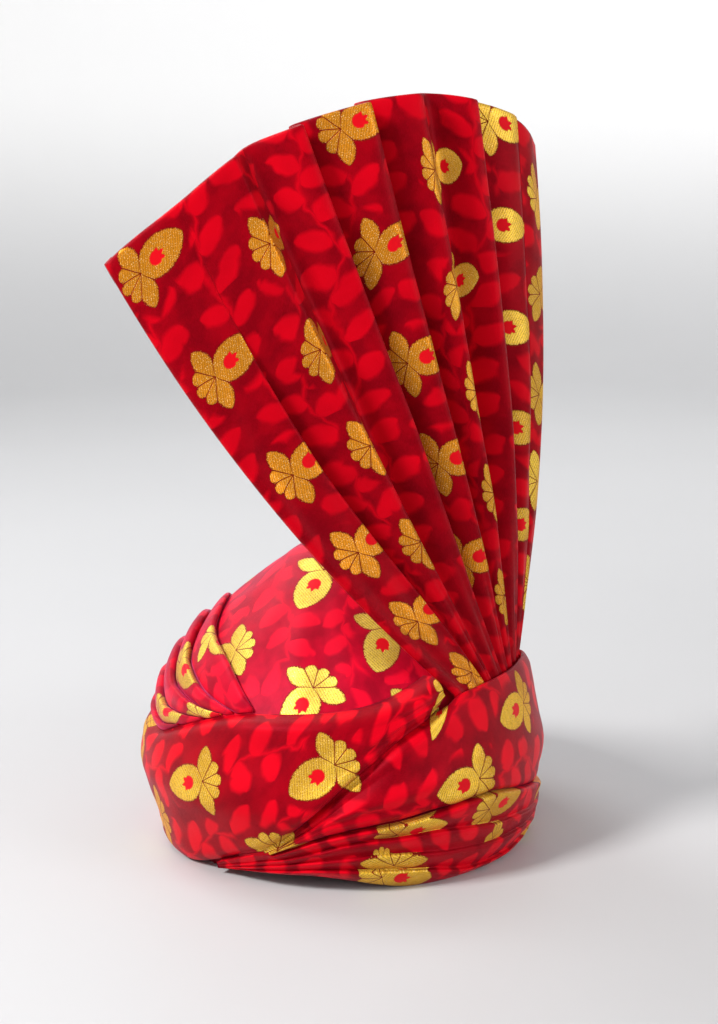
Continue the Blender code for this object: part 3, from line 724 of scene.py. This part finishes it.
# %% [markdown]
# The gold butis are woven in, each in its own place, so they are placed one by one: a node where
# the petals meet, and the way that its leaf points. Every face then learns its place on the nearest
# buti. Storing this on the faces keeps each motif whole and at its true size on any fold, which one
# picture stretched over the turban would not.

# %% Lay the butis on a piece
def place_butis(piece, butis):
    """Write each face's place on its nearest buti, in centimetres.

    A buti is (node, leaf's way, panel, slim). Panel -1 stands for any.
    """
    mesh = piece.data
    nodes, ways, panels, slims = (np.array(values) for values in zip(*butis))
    centres = np.array([face.center for face in mesh.polygons])
    facing = np.array([face.normal for face in mesh.polygons])
    own_panel = np.zeros(len(centres))
    if "panel" in mesh.attributes:
        mesh.attributes["panel"].data.foreach_get("value", own_panel)
    # the middle of a buti is about a centimetre from its node, towards the leaf
    far = np.linalg.norm(centres[:, None] - (nodes + 0.0105 * ways), axis=2)
    far += (panels >= 0) * (np.abs(own_panel[:, None] - panels) > 0.3)
    # each buti lies flat on the cloth round its middle
    away = []
    for distance in far.T:
        first = facing[distance.argmin()]
        round_it = facing[distance < distance.min() + 0.012]
        mean = round_it[round_it @ first > 0.4].sum(axis=0)
        away.append(mean / np.linalg.norm(mean))
    away = np.array(away)
    ways = ways - away * (ways * away).sum(axis=1, keepdims=True)
    ways /= np.linalg.norm(ways, axis=1, keepdims=True)
    sides = np.cross(ways, away)
    corners = np.array([loop.vertex_index for loop in mesh.loops])
    points = np.array([point.co for point in mesh.vertices])
    nearest = np.repeat(far.argmin(axis=1), [face.loop_total for face in mesh.polygons])
    steps = 100 * (points[corners] - nodes[nearest])
    across = slims[nearest] * (steps * sides[nearest]).sum(axis=1)
    places = np.stack([across, (steps * ways[nearest]).sum(axis=1)], axis=1)
    mesh.uv_layers.new(name="buti").data.foreach_set("uv", places.ravel())
    print(piece.name, "carries", len(butis), "butis")


def weave_butis(piece, flat, butis):
    """The same, on the flat cloth.

    A buti is (row, column, leaf's turn from across, its panels, size). Panels None stands for any.
    """
    mesh = piece.data
    wide = len(flat[0])
    cloth = 100 * np.asarray(flat).reshape(-1, 2)
    corners = np.array([loop.vertex_index for loop in mesh.loops])
    totals = np.array([face.loop_total for face in mesh.polygons])
    own_panel = np.zeros(len(totals))
    if "panel" in mesh.attributes:
        mesh.attributes["panel"].data.foreach_get("value", own_panel)
    nodes, far = [], []
    middles = np.add.reduceat(cloth[corners], np.concatenate([[0], np.cumsum(totals)[:-1]])) / totals[:, None]
    for row, column, turn, panels, size in butis:
        line = cloth[row * wide:(row + 1) * wide]
        node = np.array([np.interp(column, np.arange(wide), line[:, axis]) for axis in (0, 1)])
        way = np.array((math.cos(math.radians(turn)), math.sin(math.radians(turn))))
        apart = np.linalg.norm(middles - node - way, axis=1)
        nodes.append((*node, *way, *size))
        far.append(apart + 99 * (0 if panels is None else ~np.isin(own_panel, panels)))
    nodes = np.array(nodes)[np.repeat(np.argmin(far, axis=0), totals)]
    steps, ways = (cloth[corners] - nodes[:, :2]) / nodes[:, 4:], nodes[:, 2:4]
    across = steps[:, 0] * ways[:, 1] - steps[:, 1] * ways[:, 0]
    places = np.stack([across, (steps * ways).sum(axis=1)], axis=1)
    mesh.uv_layers.new(name="buti").data.foreach_set("uv", places.ravel())
    print(piece.name, "is woven with", len(butis), "butis")


def pointing(node, tip, panel=-1, slim=1.0):
    """A buti from its node to the tip of its leaf. On gathered cloth it shows slimmer."""
    way = np.array(tip) - np.array(node)
    return np.array(node), way / np.linalg.norm(way), panel, slim


BUTI_ROOM = 0.052    # the regular rows leave this much between two nodes


def fill_in(near_ones, more):
    """Add the butis of the regular rows, wherever none is near yet."""
    kept = list(near_ones)
    for buti in more:
        if all(np.linalg.norm(buti[0] - other[0]) > BUTI_ROOM for other in kept):
            kept.append(buti)
    return kept


# %% Butis on the crown and its pleats
crown_butis = [pointing(crown_at(a, h), crown_at(b, k)) for a, h, b, k in (
    (-9.5, 0.1146, -14.5, 0.0994), (-17.3, 0.1683, -23.7, 0.1531), (22.5, 0.1410, 15.0, 0.1260),
    (-46.8, 0.1260, -53.5, 0.1190),
)]
rows_round = []
for row, height in enumerate((0.100, 0.128, 0.154, 0.174)):
    around = 2 * math.pi * 0.115 * crown_out(height / BODY_HEIGHT)
    count = max(3, round(around / 0.066))
    for number in range(count):
        angle = 360 * (number + 0.5 * (row % 2)) / count + 25
        rows_round.append(pointing(crown_at(angle, height), crown_at(angle - 10, height - 0.02)))
place_butis(crown, fill_in(crown_butis, rows_round))
PLEAT_BUTIS = (
    # for each pleat: angle of each node, columns up from its lower edge, leaf's turn from across
    ((-61.0, 9.5, 75), (-134.0, 5.0, 80)), ((-69.0, 5.0, 85),), ((-47.0, 0.6, 90), (-121.0, 4.0, 85)),
    ((-69.0, 4.0, 80),), ((-112.0, 3.0, 90),),
)
for (piece, rows, flat), spots in zip(pleat_cloths, PLEAT_BUTIS):
    turns = [math.degrees(math.atan2(row[0][0], -row[0][1])) for row in rows]
    weave_butis(piece, flat, [(int(np.argmin(np.abs(np.array(turns) - angle))), column, turn, None, (1, 1))
                              for angle, column, turn in spots])

# %% Butis on the wraps
def on_band(angle, height):
    """A point on the face of the outer wrap."""
    return on_wrap(angle, height, 0.0, 0.0)


def number_panels(piece, wide, starts, hidden=0):
    """Note on every face which pleat it belongs to. The first columns of a pleat don't show."""
    values = np.empty(len(piece.data.polygons))
    for number, face in enumerate(piece.data.polygons):
        column = min(corner % wide for corner in face.vertices)
        panel = int(np.searchsorted(starts, column, side="right")) - 1
        values[number] = panel - 0.5 * (panel > 0 and column < starts[panel] + hidden)
    piece.data.attributes.new("panel", "FLOAT", "FACE").data.foreach_set("value", values)


wrap_butis = [pointing(on_band(a, h), on_band(b, k)) for a, h, b, k in (
    (-2.4, 0.0783, -15.4, 0.0581), (-40.2, 0.0598, -54.0, 0.0500), (-19.3, 0.0247, -20.5, 0.0020),
    (-66.0, 0.0220, -82.0, 0.0180), (40.2, 0.0605, 25.1, 0.0567), (65.6, 0.0909, 48.9, 0.0881),
    (100.0, 0.0520, 115.0, 0.0480), (-84.0, 0.0660, -79.0, 0.0480),
)]
wrap_butis.append(pointing(on_band(32.0, 0.1130), on_band(25.0, 0.0880), slim=2.6))
rows_round = [pointing(on_band(angle, height), on_band(angle - 14, height - 0.010))
              for row, height in enumerate((0.026, 0.058, 0.090))
              for angle in np.arange(110 + 16 * (row % 2), 276, 32) if height < band_top(angle) - 0.008]
place_butis(wrap, fill_in(wrap_butis, rows_round))
# one buti shows as a slice on each fold of the lower wrap, counted from its foot
number_panels(rim, len(rim_rows[0]), [len(RIM_FOLD) * number for number in range(5)])
rim_butis = [pointing(on_band(a, h), on_band(b, k), fold, slim) for fold, a, h, b, k, slim in (
    (3, 14.9, 0.0350, 27.0, 0.0375, 1.2), (2, 9.5, 0.0165, 10.5, 0.0000, 2.2),
    (1, 12.7, 0.0150, 12.7, 0.0000, 1.0), (0, 9.5, 0.0095, 26.0, 0.0045, 1.0),
    (3, 44.0, 0.0400, 58.0, 0.0440, 1.2), (2, 46.7, 0.0170, 46.5, 0.0000, 2.4),
    (3, 84.0, 0.0230, 84.0, 0.0030, 1.0), (0, 76.0, 0.0040, 92.0, 0.0060, 1.0),
)]
rim_butis += [pointing(on_band(angle, 0.012), on_band(angle + 14, 0.006))
              for angle in np.arange(116, 200, 33)]
place_butis(rim, rim_butis)

# %% Butis on the fan's pleats
fan_starts = [0] + [len(FIRST_EDGE) + number * len(KNIFE) for number in range(len(FOLD_ROWS) - 2)]
number_panels(fan, len(fan_rows[0]), fan_starts, hidden=6)
FAN_BUTIS = (
    # (pleats it shows on, its size across and along), then how far over the first pleat and how far up
    ((0,), (1.0, 1.0), (0.29, 0.95), (0.44, 0.73), (0.60, 0.52), (0.66, 0.34), (0.66, 0.17), (0.90, 0.03)),
    ((1, 1.5, 2), (0.9, 0.95), (0.97, 0.86), (0.97, 0.66), (0.97, 0.48), (1.0, 0.29)),
    ((3,), (0.95, 1.0), (0.55, 0.97), (0.50, 0.77), (0.47, 0.58), (0.46, 0.40), (0.35, 0.22)),
    ((4, 4.5, 5), (0.55, 0.95), (0.97, 0.88), (0.98, 0.69), (1.0, 0.50), (1.0, 0.32), (1.0, 0.13)),
    ((5,), (0.55, 0.95), (0.02, 0.88), (0.02, 0.69)),
    ((6,), (0.95, 1.0), (0.31, 0.98), (0.08, 0.79), (0.03, 0.61), (0.05, 0.43), (0.06, 0.25)),
    ((7,), (0.9, 1.0), (0.80, 0.89), (0.78, 0.71), (0.76, 0.52), (0.78, 0.35), (0.80, 0.14)),
)
fan_butis = []
for panels, size, *spots in FAN_BUTIS:
    shape, start = (FIRST_EDGE if panels[0] == 0 else KNIFE), fan_starts[panels[0]]
    shown = 5 if panels[0] == 0 else 6
    for over, along in spots:
        steps_over = [step for step, _ in shape[shown:]]
        column = start + float(np.interp(over, steps_over, range(shown, len(shape))))
        # two rows of the neck come before the rows that the stations count
        fan_butis.append((2 + round((FAN_ROWS - 1) * along), column, 8, panels, size))
weave_butis(fan, fan_flat, fan_butis)

# %% [markdown]
# Brocade is one material with three voices: a satin ground, a leaf scroll in brighter red satin, and
# motifs in flat gold thread. Each voice is a node group made once. The gold buti is drawn from
# petals, and a petal is only a half width that grows and shrinks along its own axis.

# %% A small bench for wiring shader nodes
class Bench:
    """Adds nodes to one tree and wires them by value or by socket."""

    def __init__(self, tree):
        self.tree = tree

    def add(self, kind, **settings):
        node = self.tree.nodes.new(kind)
        for name, value in settings.items():
            setattr(node, name, value)
        return node

    def feed(self, socket, value):
        if isinstance(value, bpy.types.NodeSocket):
            self.tree.links.new(value, socket)
        else:
            socket.default_value = value

    def calc(self, operation, *values, clamp=False):
        node = self.add("ShaderNodeMath", operation=operation, use_clamp=clamp)
        for socket, value in zip(node.inputs, values):
            self.feed(socket, value)
        return node.outputs[0]

    def soft(self, value, low, high):
        """0 below low and 1 above high, smoothly."""
        node = self.add("ShaderNodeMapRange", interpolation_type="SMOOTHSTEP")
        for name, given in (("Value", value), ("From Min", low), ("From Max", high)):
            self.feed(node.inputs[name], given)
        return node.outputs["Result"]

    def blend(self, share, one, other):
        node = self.add("ShaderNodeMix", data_type="RGBA")
        self.feed(node.inputs["Factor"], share)
        self.feed(node.inputs["A"], one)
        self.feed(node.inputs["B"], other)
        return [socket for socket in node.outputs if socket.type == "RGBA"][0]

    def parts(self, vector):
        node = self.add("ShaderNodeSeparateXYZ")
        self.feed(node.inputs[0], vector)
        return node.outputs[0], node.outputs[1]

    def join(self, x, y, z=0.0):
        node = self.add("ShaderNodeCombineXYZ")
        for socket, value in zip(node.inputs, (x, y, z)):
            self.feed(socket, value)
        return node.outputs[0]

    def noise(self, vector, scale, detail=2.0, rough=0.5):
        node = self.add("ShaderNodeTexNoise")
        self.feed(node.inputs["Vector"], vector)
        node.inputs["Scale"].default_value = scale
        node.inputs["Detail"].default_value = detail
        node.inputs["Roughness"].default_value = rough
        return node.outputs["Fac"]

    def place(self, group, **values):
        node = self.add("ShaderNodeGroup", node_tree=group)
        for name, value in values.items():
            self.feed(node.inputs[name.replace("_", " ")], value)
        return node


def new_group(name, inputs, outputs):
    """An empty node group with named sockets, and the bench to fill it on."""
    group = bpy.data.node_groups.new(name, "ShaderNodeTree")
    for title, kind, start in inputs:
        socket = group.interface.new_socket(title, in_out="INPUT", socket_type=kind)
        if start is not None:
            socket.default_value = start
    for title, kind in outputs:
        group.interface.new_socket(title, in_out="OUTPUT", socket_type=kind)
    bench = Bench(group)
    return group, bench, bench.add("NodeGroupInput").outputs, bench.add("NodeGroupOutput").inputs


FLOAT, VECTOR = "NodeSocketFloat", "NodeSocketVector"
print("bench ready")

# %% A petal, and the buti made of six
petal, b, given, put = new_group("petal", (
    ("Place", VECTOR, None), ("Turn", FLOAT, 0.0), ("Length", FLOAT, 1.0), ("Fullness", FLOAT, 1.0),
    ("Root", FLOAT, 0.5), ("Tip", FLOAT, 0.75)), (("Inside", FLOAT),))
x, y = b.parts(given["Place"])
sine, cosine = b.calc("SINE", given["Turn"]), b.calc("COSINE", given["Turn"])
along = b.calc("ADD", b.calc("MULTIPLY", x, sine), b.calc("MULTIPLY", y, cosine))
over = b.calc("SUBTRACT", b.calc("MULTIPLY", x, cosine), b.calc("MULTIPLY", y, sine))
share = b.calc("DIVIDE", along, given["Length"], clamp=True)
grow = b.calc("POWER", share, given["Root"])
shrink = b.calc("POWER", b.calc("SUBTRACT", 1.0, share), given["Tip"])
half = b.calc("MULTIPLY", b.calc("MULTIPLY", grow, shrink), given["Fullness"])
past_end = b.calc("ABSOLUTE", b.calc("SUBTRACT", along, b.calc("MULTIPLY", share, given["Length"])))
b.feed(put["Inside"], b.calc("SUBTRACT", half, b.calc("ADD", b.calc("ABSOLUTE", over), past_end)))

BUTI_PETALS = (
    # (turn in degrees, length, fullness, root, tip)
    (0, 3.05, 2.36, 0.50, 0.66), (99, 2.00, 1.62, 0.85, 0.74), (-99, 2.00, 1.62, 0.85, 0.74),
    (141, 1.42, 0.88, 0.95, 0.42), (180, 1.36, 0.84, 0.95, 0.40), (-141, 1.42, 0.88, 0.95, 0.42),
)
buti, b, given, put = new_group("gold_buti", (("Place", VECTOR, None),), (
    ("Gold", FLOAT), ("Outline", FLOAT), ("Heart", FLOAT), ("Near", FLOAT), ("Stitches", FLOAT)))
inside = second = -9.0
for turn, length, full, root, tip in BUTI_PETALS:
    one = b.place(petal, Place=given["Place"], Turn=math.radians(turn), Length=length, Fullness=full,
                  Root=root, Tip=tip).outputs["Inside"]
    second = b.calc("MAXIMUM", second, b.calc("MINIMUM", inside, one))
    inside = b.calc("MAXIMUM", inside, one)
x, y = b.parts(given["Place"])
ragged = b.calc("MULTIPLY", b.calc("SUBTRACT", b.noise(given["Place"], 13.0, 2.0, 0.8), 0.5), 0.40)
# a dark line is left wherever two petals are as near as each other
parted = b.calc("SUBTRACT", b.calc("SUBTRACT", inside, second), 0.025)
edge = b.calc("MINIMUM", b.calc("ADD", inside, ragged), parted)
woven = b.soft(edge, 0.0, 0.06)
over_heart = b.calc("DIVIDE", b.calc("SUBTRACT", y, 1.15), 0.45)
out_heart = b.calc("DIVIDE", x, 0.40)
far = b.calc("SQRT", b.calc("ADD", b.calc("MULTIPLY", over_heart, over_heart),
                            b.calc("MULTIPLY", out_heart, out_heart)))
jags = b.calc("MULTIPLY", b.calc("SINE", b.calc("MULTIPLY", b.calc("ARCTAN2", out_heart, over_heart), 7.0)),
              b.calc("MULTIPLY", b.soft(over_heart, -0.2, 0.8), 0.22))
heart = b.soft(b.calc("ADD", far, b.calc("ADD", jags, b.calc("MULTIPLY", ragged, 0.7))), 1.10, 0.90)
b.feed(put["Heart"], b.calc("MULTIPLY", heart, woven))
b.feed(put["Gold"], b.calc("MULTIPLY", woven, b.calc("SUBTRACT", 1.0, heart)))
b.feed(put["Outline"], b.calc("MULTIPLY", b.soft(inside, -0.10, 0.0), b.calc("SUBTRACT", 1.0, woven)))
b.feed(put["Near"], b.soft(inside, -0.95, -0.45))
slant = b.calc("ADD", b.calc("MULTIPLY", x, 3.6), b.calc("MULTIPLY", y, 6.0))
slant = b.calc("ADD", slant, b.calc("MULTIPLY", b.noise(given["Place"], 14.0, 2.0), 1.5))
b.feed(put["Stitches"], b.calc("FRACT", slant))
print("buti drawn from", len(BUTI_PETALS), "petals")

# %% [markdown]
# Between the butis runs the jacquard scroll: leaves on a winding stem, in the same red with its
# threads laid the other way, so it only shows as brighter satin. One repeat is drawn in a cell
# four and a half centimetres wide, and every other column is dropped by half a repeat, as weavers do.

# %% The leaf scroll and the weave
SCROLL_LEAVES = (
    # (across, along, turn in degrees, length, fullness)
    (-0.05, -3.00, 60, 2.15, 1.45), (-0.40, -1.95, -58, 1.95, 1.36), (-0.22, -0.95, 66, 2.15, 1.42),
    (0.02, 0.05, -62, 2.10, 1.38), (0.40, 1.05, 56, 1.95, 1.40), (0.24, 2.05, -66, 2.10, 1.30),
)
scroll, b, given, put = new_group("leaf_scroll", (("Place", VECTOR, None),), (
    ("Leaves", FLOAT), ("Tone", FLOAT)))
bent = b.noise(given["Place"], 0.16, 1.0)
crumpled = b.noise(given["Place"], 0.95, 1.0)
x, y = b.parts(given["Place"])
x = b.calc("ADD", b.calc("ADD", x, b.calc("MULTIPLY", bent, 2.2)), b.calc("MULTIPLY", crumpled, 0.9))
y = b.calc("ADD", y, b.calc("MULTIPLY", b.noise(b.join(y, x), 0.15, 1.0), 1.6))
column = b.calc("FLOOR", b.calc("DIVIDE", x, 4.4))
y = b.calc("ADD", y, b.calc("MULTIPLY", b.calc("FLOORED_MODULO", column, 2.0), 3.2))
x = b.calc("SUBTRACT", b.calc("FLOORED_MODULO", x, 4.4), 2.2)
y = b.calc("SUBTRACT", b.calc("FLOORED_MODULO", y, 6.4), 3.2)
wind = b.calc("MULTIPLY", b.calc("SINE", b.calc("MULTIPLY", y, 2 * math.pi / 6.4)), 0.42)
stem = b.calc("SUBTRACT", 0.11, b.calc("ABSOLUTE", b.calc("SUBTRACT", x, wind)))
leaves = stem
for across, along_it, turn, length, full in SCROLL_LEAVES:
    spot = b.join(b.calc("SUBTRACT", x, across), b.calc("SUBTRACT", y, along_it))
    leaf = b.place(petal, Place=spot, Turn=math.radians(turn), Length=length, Fullness=full,
                   Root=0.5, Tip=0.62).outputs["Inside"]
    leaves = b.calc("MAXIMUM", leaves, leaf)
shade = b.calc("ADD", 0.50, b.calc("MULTIPLY", b.noise(given["Place"], 0.45, 1.0), 0.7))
b.feed(put["Leaves"], b.calc("MULTIPLY", b.soft(leaves, -0.16, 0.20), b.calc("MINIMUM", shade, 1.0)))
b.feed(put["Tone"], b.noise(given["Place"], 0.55, 3.0))

weave, b, given, put = new_group("satin_weave", (("Place", VECTOR, None),), (
    ("Threads", FLOAT), ("Streaks", FLOAT)))
x, y = b.parts(given["Place"])
long_way = b.join(b.calc("MULTIPLY", x, 26.0), b.calc("MULTIPLY", y, 5.0))
b.feed(put["Streaks"], b.noise(long_way, 1.0, 4.0, 0.6))
warp = b.calc("SINE", b.calc("MULTIPLY", x, 2 * math.pi * 16))
weft = b.calc("SINE", b.calc("MULTIPLY", y, 2 * math.pi * 13))
cross = b.calc("MULTIPLY", warp, weft)
b.feed(put["Threads"], b.calc("ADD", b.calc("MULTIPLY", cross, 0.5), b.noise(given["Place"], 22.0, 2.0)))
print("scroll of", len(SCROLL_LEAVES), "leaves a repeat")

# %% Mix the brocades
def brocade(name, ground, leaf, gold, gloss, sheen, sheen_tint, lit_gold_at_right=None, with_butis=True):
    """A red satin jacquard with gold butis. The gloss is the tint of the satin's highlights."""
    material = bpy.data.materials.new(name)
    material.use_nodes = True
    tree = material.node_tree
    b = Bench(tree)
    shader = tree.nodes["Principled BSDF"]
    flat = b.add("ShaderNodeUVMap", uv_map="cloth").outputs[0]
    threads = b.place(weave, Place=flat)
    figure = b.place(scroll, Place=flat)
    leaves = figure.outputs["Leaves"]
    if with_butis:
        own_place = b.add("ShaderNodeUVMap", uv_map="buti").outputs[0]
        own = b.place(buti, Place=own_place).outputs
        leaves = b.calc("MULTIPLY", leaves, b.calc("SUBTRACT", 1.0, own["Near"]))
    tone = b.soft(figure.outputs["Tone"], 0.30, 0.72)
    deep = tuple(0.55 * value for value in ground)
    red = b.blend(tone, (*deep, 1.0), (*ground, 1.0))
    red = b.blend(b.calc("MULTIPLY", leaves, 0.90), red, (*leaf, 1.0))
    worn = b.soft(threads.outputs["Streaks"], 0.30, 0.75)
    red = b.blend(b.calc("MULTIPLY", worn, 0.12), red, (0.66, 0.006, 0.040, 1.0))
    height = b.calc("MULTIPLY", threads.outputs["Threads"], 0.10)
    roughness = b.calc("SUBTRACT", 0.54, b.calc("MULTIPLY", worn, 0.14))
    if with_butis:
        stitched = b.calc("POWER", own["Stitches"], 1.6)
        bright = (*gold, 1.0)
        # painted shade on the fan: its gold is dark bronze on the left, where the fan turns from the light,
        # and pales to the lit gold towards the right
        if lit_gold_at_right:
            across, _ = b.parts(flat)
            bright = b.blend(b.soft(across, 20.0, 40.0), bright, (*lit_gold_at_right, 1.0))
        # painted shade: in large patches the gold darkens to bronze, as metal thread does where it catches no
        # light
        painted_gold_shade = b.soft(b.noise(flat, 0.22, 2.0), 0.40, 0.62)
        thread_gold = b.blend(b.calc("MULTIPLY", painted_gold_shade, 0.45), bright, (0.42, 0.165, 0.010, 1.0))
        thread_gold = b.blend(b.calc("MULTIPLY", stitched, 0.80), thread_gold, (0.24, 0.085, 0.006, 1.0))
        # painted glints: small spots where the gold thread turns to a pale shine
        painted_glint = b.soft(b.noise(own_place, 15.0, 1.0), 0.62, 0.70)
        thread_gold = b.blend(b.calc("MULTIPLY", painted_glint, 0.7), thread_gold, (1.0, 0.80, 0.36, 1.0))
        red = b.blend(b.calc("MULTIPLY", own["Outline"], 0.75), red, (0.11, 0.004, 0.003, 1.0))
        red = b.blend(own["Heart"], red, (0.64, 0.005, 0.010, 1.0))
        red = b.blend(own["Gold"], red, thread_gold)
        stitch_height = b.calc("SUBTRACT", 1.2, b.calc("MULTIPLY", stitched, 0.5))
        height = b.calc("ADD", height, b.calc("MULTIPLY", own["Gold"], stitch_height))
        to_gold = b.calc("SUBTRACT", 0.42, roughness)
        roughness = b.calc("ADD", roughness, b.calc("MULTIPLY", own["Gold"], to_gold))
        b.feed(shader.inputs["Metallic"], b.calc("MULTIPLY", own["Gold"], 0.45))
    bump = b.add("ShaderNodeBump")
    bump.inputs["Strength"].default_value = 0.55
    bump.inputs["Distance"].default_value = 0.00035
    b.feed(bump.inputs["Height"], height)
    b.feed(shader.inputs["Normal"], bump.outputs[0])
    b.feed(shader.inputs["Base Color"], red)
    b.feed(shader.inputs["Roughness"], roughness)
    shader.inputs["Sheen Weight"].default_value = sheen
    shader.inputs["Sheen Roughness"].default_value = 0.36
    shader.inputs["Sheen Tint"].default_value = (*sheen_tint, 1.0)
    shader.inputs["Specular IOR Level"].default_value = 0.34
    shader.inputs["Specular Tint"].default_value = (*gloss, 1.0)
    return material


PALE_GOLD = (0.97, 0.78, 0.11)
# the crown's ground is paler than the same cloth's on the wraps and the fan: painted light, the satin's
# highlight on the lit crown, which washes its scroll out
crown_brocade = brocade("crown brocade", (0.48, 0.001, 0.016), (0.78, 0.002, 0.020), PALE_GOLD,
                        gloss=(1.0, 0.14, 0.28), sheen=0.50, sheen_tint=(1.0, 0.14, 0.40))
wrap_brocade = brocade("wrap brocade", (0.31, 0.0003, 0.004), (0.76, 0.0006, 0.009), (0.95, 0.62, 0.06),
                       gloss=(1.0, 0.05, 0.12), sheen=0.10, sheen_tint=(1.0, 0.10, 0.30))
# the fan's gold is a darker bronze, painted shade, paling across the cloth to the lit gold
fan_brocade = brocade("fan brocade", (0.28, 0.0002, 0.003), (0.60, 0.0004, 0.006), (0.74, 0.275, 0.014),
                      gloss=(1.0, 0.03, 0.08), sheen=0.05, sheen_tint=(1.0, 0.06, 0.25),
                      lit_gold_at_right=(0.95, 0.66, 0.08))
winding_cloth = brocade("winding cloth", (0.15, 0.001, 0.005), (0.22, 0.001, 0.007), PALE_GOLD,
                        gloss=(1.0, 0.20, 0.25), sheen=0.10, sheen_tint=(1.0, 0.20, 0.30), with_butis=False)
for piece, material in ((crown, crown_brocade), (wrap, wrap_brocade), (rim, wrap_brocade),
                        (fan, fan_brocade), (inner, winding_cloth),
                        *((piece, crown_brocade) for piece in pleats)):
    piece.data.materials.append(material)
print("materials:", [material.name for material in bpy.data.materials if material.users])

# %% [markdown]
# A free sheet of cloth keeps its size however it is folded, so each one says what it was cut to.
# The wraps are folded bands, the crown is pulled tight, the pleats and the fan are folded.

# %% Say what each cloth was cut to
def cut_from(piece, flat):
    """State a cloth's flat size, and print how much of it the folded piece shows."""
    shown = piece.evaluated_get(bpy.context.evaluated_depsgraph_get()).to_mesh()
    area = sum(face.area for face in shown.polygons) / 2
    print(piece.name, "cut", flat, "shows", round(area / (flat[0] * flat[1]), 2), "of it")


cut_from(crown, (0.36, 0.36))
cut_from(wrap, (0.90, 0.075))
cut_from(rim, (0.56, 0.035))
cut_from(fan, (0.415, 0.345))
PLEAT_CUTS = ((0.27, 0.019), (0.24, 0.016), (0.22, 0.016), (0.19, 0.014), (0.14, 0.010))
for piece, flat in zip(pleats, PLEAT_CUTS):
    cut_from(piece, flat)

# %% [markdown]
# The studio is plain: a pale sweep under and behind the turban and an even pale sky. The key lamp is
# high on the left, a weaker lamp on the right opens the shadows, a third lights the crown from
# behind, and the last one lights the wall.

# %% Floor, light and sky
sweep = [(0.4, 0.0), (1.0, 0.0)]
sweep += [(1.9 + 0.9 * math.sin(math.radians(a)), 0.9 - 0.9 * math.cos(math.radians(a)))
          for a in range(0, 91, 6)]
sweep.append((2.8, 2.6))
points = [(0.0, 0.0, 0.0)] + [(out * math.sin(math.radians(a)), out * math.cos(math.radians(a)), up)
                              for out, up in sweep for a in range(0, 360, 6)]
faces = [(0, 1 + n, 1 + (n + 1) % 60) for n in range(60)]
faces += [(1 + 60 * i + n, 1 + 60 * (i + 1) + n, 1 + 60 * (i + 1) + (n + 1) % 60, 1 + 60 * i + (n + 1) % 60)
          for i in range(len(sweep) - 1) for n in range(60)]
mesh = bpy.data.meshes.new("studio_floor")
mesh.from_pydata(points, [], faces)
mesh.shade_smooth()
floor = bpy.data.objects.new("studio_floor", mesh)
bpy.context.scene.collection.objects.link(floor)
floor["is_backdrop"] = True
paper = bpy.data.materials.new("pale paper")
paper.use_nodes = True
b = Bench(paper.node_tree)
shader = paper.node_tree.nodes["Principled BSDF"]
from_middle = b.add("ShaderNodeTexCoord").outputs["Object"]
mottle = b.blend(b.noise(from_middle, 3.0, 2.0), (0.52, 0.522, 0.53, 1.0), (0.55, 0.552, 0.56, 1.0))
climb = b.add("ShaderNodeSeparateXYZ")
b.feed(climb.inputs[0], from_middle)
paler = b.blend(b.soft(climb.outputs[2], 0.0, 0.5), mottle, (0.93, 0.93, 0.93, 1.0))
b.feed(shader.inputs["Base Color"], paler)
shader.inputs["Roughness"].default_value = 0.55
mesh.materials.append(paper)


def soft_lamp(name, place, aim, size, power, colour):
    """A square soft box that points at the turban."""
    lamp = bpy.data.objects.new(name, bpy.data.lights.new(name, "AREA"))
    lamp.data.size = size
    lamp.data.energy = power
    lamp.data.color = colour
    lamp.location = place
    lamp.rotation_euler = (Vector(aim) - Vector(place)).to_track_quat("-Z", "Y").to_euler()
    bpy.context.scene.collection.objects.link(lamp)
    return lamp


soft_lamp("key", (-1.3, -0.9, 1.45), (0, 0, 0.15), 0.45, 46, (1.0, 0.985, 0.97))
soft_lamp("fill", (1.6, -0.9, 0.7), (0, 0, 0.2), 0.8, 13, (1.0, 0.98, 0.97))
soft_lamp("crown light", (-0.7, 0.6, 1.3), (0, 0, 0.2), 0.7, 9, (0.98, 0.98, 1.0))
soft_lamp("wall light", (0.4, 0.9, 1.5), (0.4, 2.8, 0.5), 1.0, 13, (1.0, 1.0, 1.0))
sky = bpy.data.worlds.new("pale sky")
sky.use_nodes = True
sky.node_tree.nodes["Background"].inputs[0].default_value = (0.92, 0.94, 0.96, 1.0)
sky.node_tree.nodes["Background"].inputs[1].default_value = 0.35
bpy.context.scene.world = sky
bpy.context.scene.view_settings.view_transform = "Standard"

# %% Print the sizes of the cloth and of the frame
shown_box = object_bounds()
for axis, name in enumerate("xyz"):
    cad_side = cad_box[1][axis] - cad_box[0][axis]
    side = shown_box[1][axis] - shown_box[0][axis]
    print(name, "side", round(1000 * side, 1), "mm, in the frame", round(1000 * cad_side, 1))
